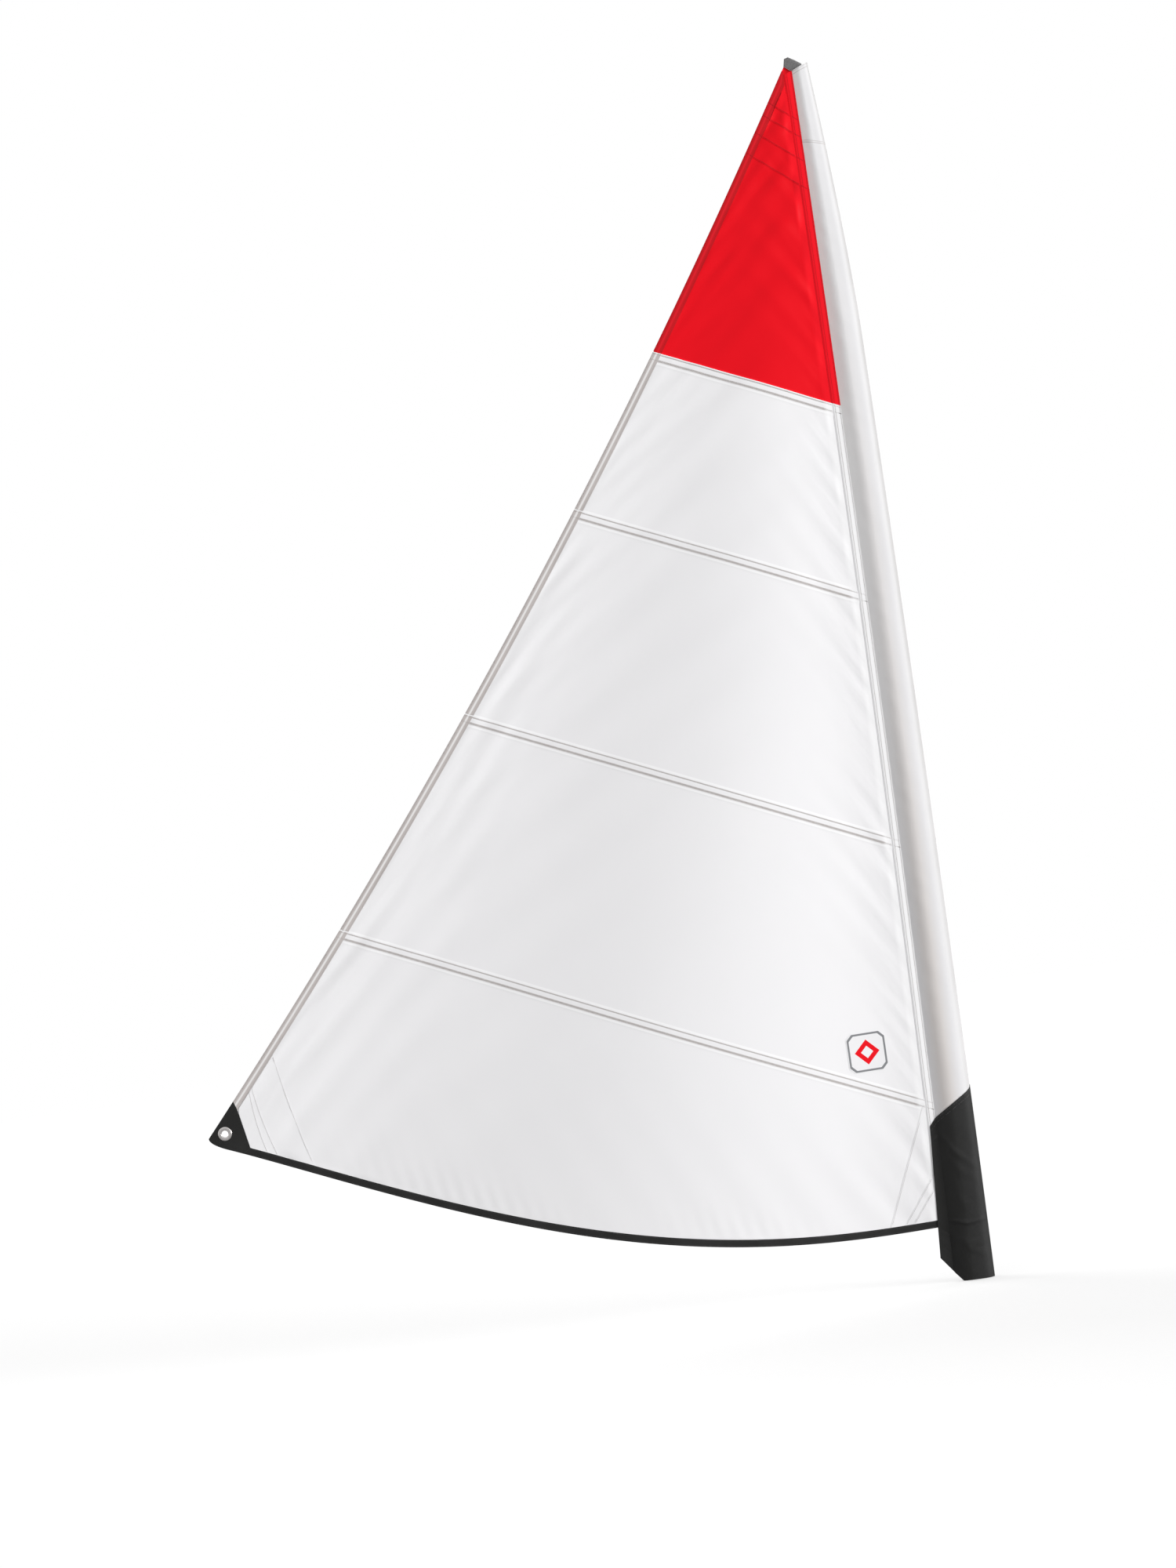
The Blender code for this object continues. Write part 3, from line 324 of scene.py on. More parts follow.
class Wire:
    """A number on its way through a node tree. Sums and products of wires add the Math nodes for them."""

    def __init__(self, nodes, socket):
        self.nodes = nodes
        self.socket = socket

    def maths(self, operation, *others, clamp=False):
        values = dict(enumerate((self, *others)))
        return self.nodes.node("ShaderNodeMath", {"operation": operation, "use_clamp": clamp}, values)

    def __add__(self, other):
        return self.maths("ADD", other)

    def __sub__(self, other):
        return self.maths("SUBTRACT", other)

    def __rsub__(self, other):
        return self.nodes.node("ShaderNodeMath", {"operation": "SUBTRACT"}, {0: other, 1: self})

    def __mul__(self, other):
        return self.maths("MULTIPLY", other)

    def __truediv__(self, other):
        return self.maths("DIVIDE", other)

    def __abs__(self):
        return self.maths("ABSOLUTE")

    __radd__ = __add__
    __rmul__ = __mul__

    def waves(self, length):
        """Runs smoothly from 0 to 1 and back once in each length."""
        return (self * (2 * math.pi / length)).maths("SINE") * 0.5 + 0.5

    def held(self):
        """The same number, kept between 0 and 1."""
        return self.maths("ADD", 0.0, clamp=True)

    def near(self, place, width, soft):
        """1 within half a width of the place, falling to 0 over the soft distance."""
        return ((width / 2 + soft - abs(self - place)) / soft).held()

    def lines(self, table):
        """Soft lines at several places, added up: each row of the table is what near takes."""
        total = self.near(*table[0])
        for line in table[1:]:
            total = total + self.near(*line)
        return total

    def past(self, place, soft):
        """0 up to the place, rising to 1 over the soft distance."""
        return ((self - place) / soft).held()


class Nodes:
    """A node tree in the making, of a material or of the world."""

    def __init__(self, tree):
        self.tree = tree

    def node(self, kind, settings, values, output=0):
        """Any node: its kind, its settings, its sockets' values or wires, and the output that is used."""
        node = self.tree.nodes.new(kind)
        for setting, value in settings.items():
            setattr(node, setting, value)
        for socket, value in values.items():
            self.join(value, node.inputs[socket])
        return Wire(self, node.outputs[output])

    def join(self, value, socket):
        if isinstance(value, Wire):
            self.tree.links.new(value.socket, socket)
        else:
            socket.default_value = value


class Finish(Nodes):
    """A material in the making. Its shader's fixed sockets are set by name, and the others are wired."""

    def __init__(self, name, **fixed):
        self.material = bpy.data.materials.new(name)
        self.material.use_nodes = True
        super().__init__(self.material.node_tree)
        self.shader = self.tree.nodes["Principled BSDF"]
        for socket, value in fixed.items():
            self.shader.inputs[socket.replace("_", " ")].default_value = value
        self.place = self.node("ShaderNodeTexCoord", {}, {}, "Object")

    def field(self, name):
        return self.node("ShaderNodeAttribute", {"attribute_name": name}, {}, "Fac")

    def axes(self):
        """The place's X and its Z."""
        x = self.node("ShaderNodeSeparateXYZ", {}, {"Vector": self.place}, "X")
        return x, Wire(self, x.socket.node.outputs["Z"])

    def mottle(self, scale, detail=2.0):
        """Cloudy noise from 0 to 1, its scale in clouds a metre."""
        values = {"Vector": self.place, "Scale": scale, "Detail": detail}
        return self.node("ShaderNodeTexNoise", {}, values, "Fac")

    def clouds(self, low, high, scale, detail=2.0):
        """The same noise, from a low value to a high one."""
        return self.mottle(scale, detail) * (high - low) + low

    def blend(self, first, second, share):
        """A colour between two, by a share from 0 to 1."""
        colours = [(*c, 1.0) if isinstance(c, tuple) else c for c in (first, second)]
        values = {0: share, 6: colours[0], 7: colours[1]}
        return self.node("ShaderNodeMix", {"data_type": "RGBA"}, values, 2)

    def woven(self, pitch):
        """Threads over and under each other: the product of two waves, one along X and one along Z."""
        x, z = self.axes()
        return x.waves(pitch) * z.waves(pitch)

    def streaks(self, degrees, width, length):
        """Noise from 0 to 1, drawn out along lines that stand square to a direction from X towards Z."""
        turn = math.radians(degrees)
        x, z = self.axes()
        across = (x * math.cos(turn) + z * math.sin(turn)) * (1 / width)
        along = (z * math.cos(turn) - x * math.sin(turn)) * (1 / length)
        place = self.node("ShaderNodeCombineXYZ", {}, {"X": across, "Y": along}, "Vector")
        return self.node("ShaderNodeTexNoise", {}, {"Vector": place, "Scale": 1.0, "Detail": 1.5}, "Fac")

    def raised(self, height, distance):
        """Puts a height, in shares of a distance in metres, on the surface as bumps."""
        values = {"Height": height, "Distance": distance, "Strength": 1.0}
        self.join(self.node("ShaderNodeBump", {}, values, "Normal"), self.shader.inputs["Normal"])

    def coloured(self, colour):
        self.join(colour, self.shader.inputs["Base Color"])

    def rough(self, *clouded):
        """Roughness in clouds, given as clouds takes them."""
        self.join(self.clouds(*clouded), self.shader.inputs["Roughness"])


CLOTH_GLOSS = 0.12
WEAVE = 0.0016
WEAVE_HEIGHT = 0.10
RELIEF = 0.0006
TONE_CLOUDS = 3.0
PALE_CLOUDS = (0.0, 0.3, 1.3)
CLOTH_ROUGHNESS = (0.36, 0.46, 14.0)
PUCKER_CLOUDS = 90.0
BROKEN = (0.5, 1.0, 160.0, 1.0)
SEAM_ROW = 0.0055
LAP_ROW = 0.0245
# Lines along the seams and the luff: how far in each lies, how wide it is, and how soft its edges are
STITCH_LINES = ((SEAM_ROW, 0.0020, 0.0018), (SEAM_LAP - 0.004, 0.0058, 0.0020))
HIDDEN_LINES = ((0.0050, 0.0012, 0.0018), (0.0240, 0.0012, 0.0018))
# Painted highlights: pale lines painted beside the seams' edges and beside the luff tape
PAINTED_HIGHLIGHTS_BELOW = ((SEAM_LAP + 0.0055, 0.0020, 0.0020), (0.0008, 0.0010, 0.0012))
PAINTED_HIGHLIGHT_ABOVE = (SEAM_LAP + 0.003, 0.0030, 0.0020)
PAINTED_LUFF_HIGHLIGHT = (0.037, 0.014, 0.012)
PUCKER_LINES = ((SEAM_ROW, 0.004, 0.006), (SEAM_LAP, 0.004, 0.006))
STITCH_SHARE = 0.9
HIDDEN_SHARE = 0.5
PAINTED_HIGHLIGHT_SHARE = 0.8
PUCKER_DEPTH = 0.8
# The finest creases, which fan out from an edge: direction, width and length, and where they lie
LEECH_FANS = (-47.0, 0.042, 0.30)
LEECH_FAN_BAND = (0.060, 0.070, 0.150)
LUFF_FANS = (31.0, 0.034, 0.16)
LUFF_FAN_BAND = (0.055, 0.050, 0.080)
LUFF_FAN_SHARE = 0.6
FAN_HEIGHT = 4.0
CLOTH_FIELDS = ("below_top", "above_bottom", "from_luff", "from_leech")


def sailcloth(name, colour, deep, pale, line):
    """Sailcloth in one colour: a fine weave, a cloudy tone between deep and pale, and the seams' lines.

    The first two fields are distances from the panel's own edges at its seams. That from the luff places a
    painted highlight beside the luff tape, and those from luff and leech place the finest creases."""
    finish = Finish(name, Specular_IOR_Level=CLOTH_GLOSS)
    below, above, luff, leech = (finish.field(field) for field in CLOTH_FIELDS)
    cloth = finish.blend(colour, deep, finish.mottle(TONE_CLOUDS))
    cloth = finish.blend(cloth, pale, finish.clouds(*PALE_CLOUDS))
    rows = below.lines(STITCH_LINES) * STITCH_SHARE + above.lines(HIDDEN_LINES) * HIDDEN_SHARE
    cloth = finish.blend(cloth, line, (rows * finish.clouds(*BROKEN)).held())
    # Painted highlights beside the seams' edges and the luff tape, in the pale tone
    painted_highlight = (below.lines(PAINTED_HIGHLIGHTS_BELOW) + above.near(*PAINTED_HIGHLIGHT_ABOVE) + luff.near(*PAINTED_LUFF_HIGHLIGHT)).held()
    finish.coloured(finish.blend(cloth, pale, painted_highlight * PAINTED_HIGHLIGHT_SHARE))
    pucker = below.lines(PUCKER_LINES) * finish.mottle(PUCKER_CLOUDS) * PUCKER_DEPTH
    fans = finish.streaks(*LEECH_FANS) * leech.near(*LEECH_FAN_BAND)
    fans = fans + finish.streaks(*LUFF_FANS) * luff.near(*LUFF_FAN_BAND) * LUFF_FAN_SHARE
    finish.raised(finish.woven(WEAVE) * WEAVE_HEIGHT - pucker + fans * FAN_HEIGHT, RELIEF)
    finish.rough(*CLOTH_ROUGHNESS)
    return finish.material


WHITE = (0.810, 0.804, 0.816)
DEEP_WHITE = (0.775, 0.769, 0.782)
PALE_WHITE = (0.900, 0.897, 0.905)
WARM_GREY = (0.42, 0.385, 0.37)
RED = (0.78, 0.0010, 0.0085)
DEEP_RED = (0.70, 0.0008, 0.0070)
PALE_RED = (0.90, 0.0060, 0.0160)
DARK_RED = (0.42, 0.003, 0.007)
white_cloth = sailcloth("white_sailcloth", WHITE, DEEP_WHITE, PALE_WHITE, WARM_GREY)
red_cloth = sailcloth("red_sailcloth", RED, DEEP_RED, PALE_RED, DARK_RED)
slot_of = {white_cloth: "white_cloth", red_cloth: "red_cloth"}


def distances_down(depth):
    """Row distances below a panel's top: close over the seam's lap and ramp, then evenly spaced."""
    fine = np.arange(0, FINE_DEPTH - FINE_STEP / 2, FINE_STEP)
    coarse = np.linspace(FINE_DEPTH, depth, max(2, round((depth - FINE_DEPTH) / CLOTH_STEP)))
    return np.concatenate([fine, coarse])


def lap_climb(level, seam):
    """Height added near a panel's top, in a ramp that eases in and out over the edge behind it."""
    high = lap_level(seam) - HEM_STOP
    return ON_PANEL * eased(ramp(level, high - LAP_RAMP, high))


def cloth_fields(plan, below=FAR, above=FAR):
    """What sailcloth's finish reads: distances from the seams, and from the luff and the leech."""
    x, z = plan[..., 0], plan[..., 1]
    return dict(zip(CLOTH_FIELDS, (below, above, from_luff(x, z), from_leech(x, z))))


def panel(node, plan, above, below, finish):
    """A panel's cloth over a grid of plan points, between the seam above it and the seam below it."""
    level = level_of(plan[..., 0], plan[..., 1])
    height = lap_climb(level, above) if above else np.zeros_like(level)
    square = math.cos(SEAM_ANGLE)
    below_top = (seam_level(above) - level) * square if above else FAR
    above_bottom = (level - lap_level(below)) * square if below else FAR
    fields = cloth_fields(plan, below_top, above_bottom)
    return walled(node, slot_of[finish], *skins_at(plan, height, CLOTH), finish, fields)


def cross_cut(top, bottom):
    """Plan points of a panel between two levels, in rows from luff to leech along the seams' direction."""
    levels = top - distances_down(top - bottom)
    fore = luff_at(levels, LUFF_ROOM)
    aft = leech_at(levels, EDGE_ROOM)
    width = np.linalg.norm(fore - aft, axis=1).max()
    share = np.linspace(0, 1, max(FEWEST_COLUMNS, round(width / CLOTH_STEP)))[None, :, None]
    return fore[:, None] * (1 - share) + aft[:, None] * share


def resampled(line, count):
    """A line of points again, with this many points evenly spaced along it."""
    line = np.asarray(line, float)
    run = np.concatenate([[0], np.cumsum(np.linalg.norm(np.diff(line, axis=0), axis=1))])
    return np.stack([np.interp(np.linspace(0, run[-1], count), run, column) for column in line.T], axis=-1)


def between(top, bottom, left, right):
    """A Coons patch: the blend of two facing lines, plus that of the other two, less that of the corners.

    top and bottom run left to right with one count of points, and left and right run down with another."""
    u = np.linspace(0, 1, len(top))[None, :, None]
    v = np.linspace(0, 1, len(left))[:, None, None]
    corners = (top[0] * (1 - u) + top[-1] * u) * (1 - v) + (bottom[0] * (1 - u) + bottom[-1] * u) * v
    return left[:, None] * (1 - u) + right[:, None] * u + top[None] * (1 - v) + bottom[None] * v - corners


# The head panel's rows run on above the last seam line, into the tip that the webbing holds
head_top = float(level_of(*LEECH_HEAD)) - TIP_DROP
head_plan = cross_cut(head_top, lap_level(RED_SEAM_Z))
tuck = LEECH_HEAD + TIP_TUCK
tip_luff = resampled([tuck[0], (LUFF_HEAD_X - LUFF_ROOM, HEAD_Z), head_plan[0, 0]], TIP_ROWS)
tip_leech = resampled([tuck[1], head_plan[0, -1]], TIP_ROWS)
share = np.linspace(0, 1, head_plan.shape[1])[None, :, None]
tip = tip_luff[:, None] * (1 - share) + tip_leech[:, None] * share
body = {"head": panel("head_panel", np.concatenate([tip[:-1], head_plan]), None, RED_SEAM_Z, red_cloth)}
for name, above, below in (
    ("upper", RED_SEAM_Z, UPPER_SEAM_Z),
    ("middle", UPPER_SEAM_Z, MIDDLE_SEAM_Z),
    ("lower", MIDDLE_SEAM_Z, LOWER_SEAM_Z),
):
    plan = cross_cut(seam_level(above), lap_level(below))
    body[name] = panel(f"{name}_panel", plan, above, below, white_cloth)

# The foot panel's first rows follow its seam, and a patch fills the rest to the round foot and the clew
strip_levels = seam_level(LOWER_SEAM_Z) - np.arange(0, FINE_DEPTH + FINE_STEP / 2, FINE_STEP)
foot_columns = round(FOOT_LENGTH / CLOTH_STEP)
share = np.linspace(0, 1, foot_columns)[None, :, None]
strip_fore = luff_at(strip_levels, LUFF_ROOM)[:, None]
strip = strip_fore * (1 - share) + leech_at(strip_levels, EDGE_ROOM)[:, None] * share
tack = foot_point(1 - LUFF_ROOM / FOOT_LENGTH, EDGE_ROOM)
luff_side = luff_at(np.linspace(strip_levels[-1], level_of(*tack), SIDE_POINTS), LUFF_ROOM)
luff_side[-1] = tack
leech_side = leech_point(np.linspace(leech_share(strip[-1, -1]), 1, SIDE_POINTS), EDGE_ROOM)
corner = clew_corner(np.linspace(0, 1, CORNER_POINTS), EDGE_ROOM)
foot = foot_point(np.linspace(CLEW_CORNER_SHARE, 1 - LUFF_ROOM / FOOT_LENGTH, FOOT_POINTS), EDGE_ROOM)
foot_side = resampled(np.concatenate([corner, foot[1:]])[::-1], foot_columns)
sides = [resampled(side, FOOT_GRID_ROWS) for side in (luff_side, leech_side)]
lower = between(strip[-1], foot_side, *sides)
foot_plan = np.concatenate([strip, lower[1:]])
body["foot"] = panel("foot_panel", foot_plan, LOWER_SEAM_Z, None, white_cloth)

# The layers at the corners
# More of the panels' own cloth, in steps: each layer is smaller than the one under it, and sewn at its rim.

CLEW_PATCH_LEECH = 0.142
CLEW_PATCH_FOOT = 0.112
CLEW_PATCH_HEEL = 0.0173
CLEW_PATCH_SHOULDER = 0.17
CLEW_PATCH_BULGE = 0.0035
CLEW_LAYERS = ((0.335, 0.342), (0.212, 0.224), (0.198, 0.190))
CLEW_LAYER_TOP = 0.132
CLEW_LAYER_SHOULDER = 0.12
CLEW_LAYER_BOW = 0.0065
TACK_LAYERS = ((0.400, 0.157), (0.134, 0.110), (0.093, 0.085))
TACK_LAYER_HEEL = 0.0085
TACK_LAYER_CUT = 0.010
TACK_LAYER_TOE = 0.010
TACK_RIM_START = (5, 1, 1)
HEAD_PATCH_DROPS = (0.333, 0.256, 0.190, 0.143)
HEAD_PATCH_TOP_DROP = 0.085
HEAD_PATCH_SLOPE = 0.81
LUFF_TAPE_WIDTH = 0.027
LEECH_HEM_WIDTH = 0.027
FOOT_TAPE_WIDTH = 0.024
LAYER_GRID = 0.007
FEWEST_ROWS = 6
REACH_POINTS = 30
RIM_POINTS = 40
TACK_POINTS = 20
RIM_STITCH = 0.0038


def layer(node, top, bottom, left, right, height, finish, climb=None):
    """A layer of cloth between four lines of plan points, lying at a height on the panel."""
    rows, columns = (
        max(FEWEST_ROWS, round(np.linalg.norm(line[-1] - line[0]) / LAYER_GRID)) for line in (left, bottom)
    )
    across = [resampled(line, columns) for line in (top, bottom)]
    plan = between(*across, resampled(left, rows), resampled(right, rows))
    lift = height + (climb(plan) if climb else 0.0)
    return walled(node, slot_of[finish], *skins_at(plan, lift, CLOTH), finish, cloth_fields(plan))


def clew_patch_inner(room=0.0):
    """The clew patch's inner edge, from the leech down to the foot, moved out of the patch by room."""
    along = CLEW_PATCH_FOOT / FOOT_LENGTH
    leech_end = leech_point(1 - CLEW_PATCH_LEECH / LEECH_LENGTH)
    heel = foot_point(along + CLEW_PATCH_HEEL / FOOT_LENGTH, FOOT_TAPE_WIDTH)
    shoulder = leech_end + (heel - leech_end) * CLEW_PATCH_SHOULDER + (CLEW_PATCH_BULGE, 0.0)
    return np.array([leech_end, shoulder, heel, foot_point(along)]) + FOOT_RUN / FOOT_LENGTH * room


layer_rims = []
corner_layers = {"clew": [], "tack": [], "head": []}
_, shoulder, heel, _ = clew_patch_inner(2 * GAP)
hem_edge = LEECH_HEM_WIDTH + 2 * GAP
inner_top = leech_point(1 - CLEW_LAYER_TOP / LEECH_LENGTH, hem_edge)
inner_toe = heel + (GAP, GAP)
near_corner = shoulder + (inner_toe - shoulder) * CLEW_LAYER_SHOULDER + (2 * GAP, 0.0)
foot_first = (CLEW_PATCH_FOOT + FOOT_TAPE_WIDTH) / FOOT_LENGTH
for i, (leech_reach, foot_reach) in enumerate(CLEW_LAYERS):
    top = leech_point(1 - np.linspace(CLEW_LAYER_TOP, leech_reach, REACH_POINTS) / LEECH_LENGTH, hem_edge)
    along = np.linspace(foot_first, foot_reach / FOOT_LENGTH, REACH_POINTS)[1:]
    bottom = np.concatenate([[inner_toe], foot_point(along, FOOT_TAPE_WIDTH + GAP)])
    t = np.linspace(0, 1, RIM_POINTS)[:, None]
    rim = top[-1] * (1 - t) + bottom[-1] * t - 4 * t * (1 - t) * (CLEW_LAYER_BOW, 0.0)
    height = ON_PANEL + i * LAYER_STEP
    inner = np.array([inner_top, near_corner, inner_toe])
    corner_layers["clew"].append(layer(f"clew_layer_{i + 1}", top, bottom, inner, rim, height, white_cloth))
    layer_rims.append((rim[1:-1] - (RIM_STITCH, 0.0), height + CLOTH, "grey"))

tack_edge = LUFF_TAPE_WIDTH + 2 * GAP
heel_reach = tack_edge + TACK_LAYER_HEEL
tack_heel = foot_point(1 - heel_reach / FOOT_LENGTH, FOOT_TAPE_WIDTH + GAP)


def tack_climb(plan):
    return lap_climb(level_of(plan[..., 0], plan[..., 1]), LOWER_SEAM_Z)


for i, (rise, reach) in enumerate(TACK_LAYERS):
    high = min(level_of(*tack_heel) + rise, lap_level(LOWER_SEAM_Z))
    side = luff_at(np.linspace(high, level_of(*tack_heel) + TACK_LAYER_TOE, RIM_POINTS), tack_edge)
    left = np.concatenate([side, [tack_heel]])
    top = np.array([side[0], side[0] - SEAM_WAY * TACK_LAYER_CUT])
    along = 1 - np.linspace(heel_reach, tack_edge + reach, TACK_POINTS) / FOOT_LENGTH
    bottom = foot_point(along, FOOT_TAPE_WIDTH + GAP)
    rim = resampled([top[-1], bottom[-1]], RIM_POINTS)
    height = ON_PANEL + i * LAYER_STEP
    climb = tack_climb if i == 0 else None
    node = f"tack_layer_{i + 1}"
    corner_layers["tack"].append(layer(node, top, bottom, left, rim, height, white_cloth, climb))
    layer_rims.append((rim[TACK_RIM_START[i]:-1] + (RIM_STITCH, 0.0), height + CLOTH, "grey"))

head_level = float(level_of(*LEECH_HEAD))
for i, drop in enumerate(HEAD_PATCH_DROPS):
    high = head_level - HEAD_PATCH_TOP_DROP
    left = leech_at(np.linspace(high, head_level - drop, RIM_POINTS), LEECH_HEM_WIDTH + GAP)
    width = LUFF_HEAD_X - LUFF_TAPE_WIDTH - left[-1, 0]
    low = head_level - drop - (HEAD_PATCH_SLOPE - SLOPE) * width
    right = luff_at(np.linspace(high, low, RIM_POINTS), LUFF_TAPE_WIDTH + GAP)
    rim = resampled([left[-1], right[-1]], RIM_POINTS)
    height = ON_PANEL + i * LAYER_STEP
    top = np.array([left[0], right[0]])
    corner_layers["head"].append(layer(f"head_patch_{i + 1}", top, rim, left, right, height, red_cloth))
    layer_rims.append((rim[1:-1] + (0.0, RIM_STITCH), height + CLOTH, "red"))

# The mast sleeve
# One cloth folded round the mast, from head to tack, its two flanges sewn over both faces of the panels.
# A second thickness lines its head, where the mast's tip wears it.

SLEEVE_WALL = 0.0008
NOSE_X = 0.028
NOSE_ROUND = 0.014
NOSE_TAPER = 0.040
TAPER_LENGTH = 0.863
TAPER_POWER = 1.5
SLEEVE_TOP_RISE = 0.020
SLEEVE_TOP_Z = HEAD_Z + SLEEVE_TOP_RISE
SLEEVE_FOOT_Z = 0.190
SLEEVE_HALF_DEPTH = 0.027
HEAD_HALF_DEPTH = 0.017
TOP_TILT = 0.36
FLANGE_WIDTH = 0.022
LINING_LENGTH = 0.268
LINING_TILT = 0.37
LINING_TOP_DROP = 0.001
SEAM_LIFT = np.array([0.12, 0.40])
SWELL = np.array([0.28, 1.0])
CROWN_START = 0.48
CROWN_END = 0.74
SLEEVE_FRONT = ON_PANEL + LAYER_STEP + SLEEVE_WALL
SLEEVE_BACK = GAP + SLEEVE_WALL
SLEEVE_ROWS = 440
LINING_ROWS = 40
LINING_EDGE = 8
SWELL_POINTS = 19
CROWN_POINTS = 5
NOSE_POINTS = 11
CREASE_HEIGHTS = (0.64, 0.80)
SLACK_DEPTH = 0.0009
GATHER_DEPTH = 0.00035
GATHER_PEAK = 0.16


def head_taper(z):
    return np.clip((z - SLEEVE_TOP_Z + TAPER_LENGTH) / TAPER_LENGTH, 0.0, None) ** TAPER_POWER


def nose_x(z):
    """The sleeve's leading edge: slightly round, and falling back towards the head."""
    up = z / SLEEVE_TOP_Z
    return NOSE_X + NOSE_ROUND * 4 * up * (1 - up) - NOSE_TAPER * head_taper(z)


def half_depth(z):
    return SLEEVE_HALF_DEPTH + (HEAD_HALF_DEPTH - SLEEVE_HALF_DEPTH) * head_taper(z)


# Half the section, seam to nose, as shares of width and half depth: cubic swell, straight crown, ellipse
t = np.linspace(0, 1, SWELL_POINTS)[:, None]
swell = SEAM_LIFT * 3 * t * (1 - t) ** 2 + SWELL * 3 * t**2 * (1 - t) + np.array([CROWN_START, 1.0]) * t**3
turn = np.radians(np.linspace(0, 90, NOSE_POINTS))[:, None]
crown = np.hstack([CROWN_END + (1 - CROWN_END) * np.sin(turn), np.cos(turn)])
middle = CROWN_START + (CROWN_END - CROWN_START) * np.linspace(0, 1, CROWN_POINTS)[1:-1, None]
half_section = np.concatenate([swell, np.hstack([middle, np.ones_like(middle)]), crown])
SECTION_ACROSS = np.concatenate([half_section[:, 0], half_section[-2::-1, 0]])
SECTION_DEPTH = np.concatenate([half_section[:, 1], half_section[-2::-1, 1]])
SECTION_SIDE = np.sign(np.arange(len(SECTION_ACROSS)) - (len(half_section) - 1))
SECTION_COLUMNS = len(SECTION_ACROSS) + 2
FIELD_ACROSS = np.concatenate([[0], SECTION_ACROSS, [0]])


def wrapped(z, front, back, aft, push=0.0):
    """Points round the sleeve at heights z, rows by columns, front edge to nose to back edge.

    front and back are the flanges' heights at the seam, aft is how far behind the seam they end, and push
    moves the section's middle off its plane, as creases do."""
    front, back, aft, push = (np.broadcast_to(value, z.shape) for value in (front, back, aft, push))
    inner = z[:, 1:-1]
    seam = luff_x(inner)
    flange = np.where(SECTION_SIDE < 0, front[:, 1:-1], back[:, 1:-1])
    flange = flange * np.clip(1 - SECTION_ACROSS / CROWN_START, 0, None)
    x = seam + SECTION_ACROSS * (nose_x(inner) - seam)
    y = SECTION_SIDE * (SECTION_DEPTH * half_depth(inner) + flange * (1 - SECTION_DEPTH) + push[:, 1:-1])
    points = np.stack([x, y, inner], axis=-1)
    fore = np.stack([luff_x(z[:, 0]) - aft[:, 0], -front[:, 0], z[:, 0]], axis=-1)
    rear = np.stack([luff_x(z[:, -1]) - aft[:, -1], back[:, -1], z[:, -1]], axis=-1)
    return np.concatenate([fore[:, None], points, rear[:, None]], axis=1)


def thinned(points, wall):
    """The same grid of points moved inwards by a wall, square to each row's path in plan."""
    along = np.gradient(points[..., :2], axis=1)
    along[:, 0] = points[:, 1, :2] - points[:, 0, :2]
    along[:, -1] = points[:, -1, :2] - points[:, -2, :2]
    along /= np.linalg.norm(along, axis=-1, keepdims=True)
    moved = points.copy()
    moved[..., 0] -= along[..., 1] * wall
    moved[..., 1] += along[..., 0] * wall
    return moved


def sleeve_creases(z):
    """Slack in the sleeve: slow dents along it and small slanting gathers by its seam, none in the boot."""
    side = np.concatenate([[0], SECTION_SIDE, [0]])
    slack = np.sin(z * 5.3 + side) * 0.5 + np.sin(z * 13.0 + 2 * side + 3 * FIELD_ACROSS) * 0.35
    gathers = np.sin(z * 78.0 + 9 * FIELD_ACROSS + 2.0 * np.sin(z * 9.0)) * (0.6 + 0.4 * np.sin(z * 21.0))
    bulge = FIELD_ACROSS**2 * (1 - FIELD_ACROSS) ** 2 * 16
    beside = FIELD_ACROSS * np.exp(1 - FIELD_ACROSS / GATHER_PEAK) / GATHER_PEAK
    return ramp(z, *CREASE_HEIGHTS) * (slack * bulge * SLACK_DEPTH + gathers * beside * GATHER_DEPTH)


FLANGE_AND_SHADE_GREY = (0.655, 0.620, 0.602)
PAINTED_LIGHT_WHITE = (0.95, 0.94, 0.935)
NOSE_SHADE_GREY = (0.46, 0.455, 0.45)
# Where these tones lie, all partly or wholly painted light and shade: shares round from seam to nose, and
# heights
BEHIND_ACROSS = ((0.0, 0.26), (0.46, 0.72))
BEHIND_HEIGHTS = (0.70, 3.6412)
NOSE_ACROSS = (0.76, 0.94)
NOSE_HEIGHTS = (-2.7273, 1.8182)
PAINTED_LIGHT_ACROSS = (0.0, 0.42)
PAINTED_LIGHT_HEIGHTS = (1.2, 3.6)
PAINTED_LIGHT_SHARE = 1.5
BEHIND_CLOUDS = (0.9, 1.1, 2.2)
NOSE_CLOUDS = (0.7, 1.0, 9.0)
TOP_EDGE_SHARE = 0.5
SLEEVE_ROW_SHARE = 0.7
SLEEVE_BUMPS = (0.0, 0.25, 45.0)
FIRM_ROUGHNESS = (0.40, 0.50, 14.0)
TOP_HEM_LINE = (0.012, 0.0012, 0.0014)
TOP_EDGE_LINE = (0.003, 0.003, 0.002)
LINING_LINES = ((0.0, 0.0012, 0.0016), (0.006, 0.001, 0.0012))


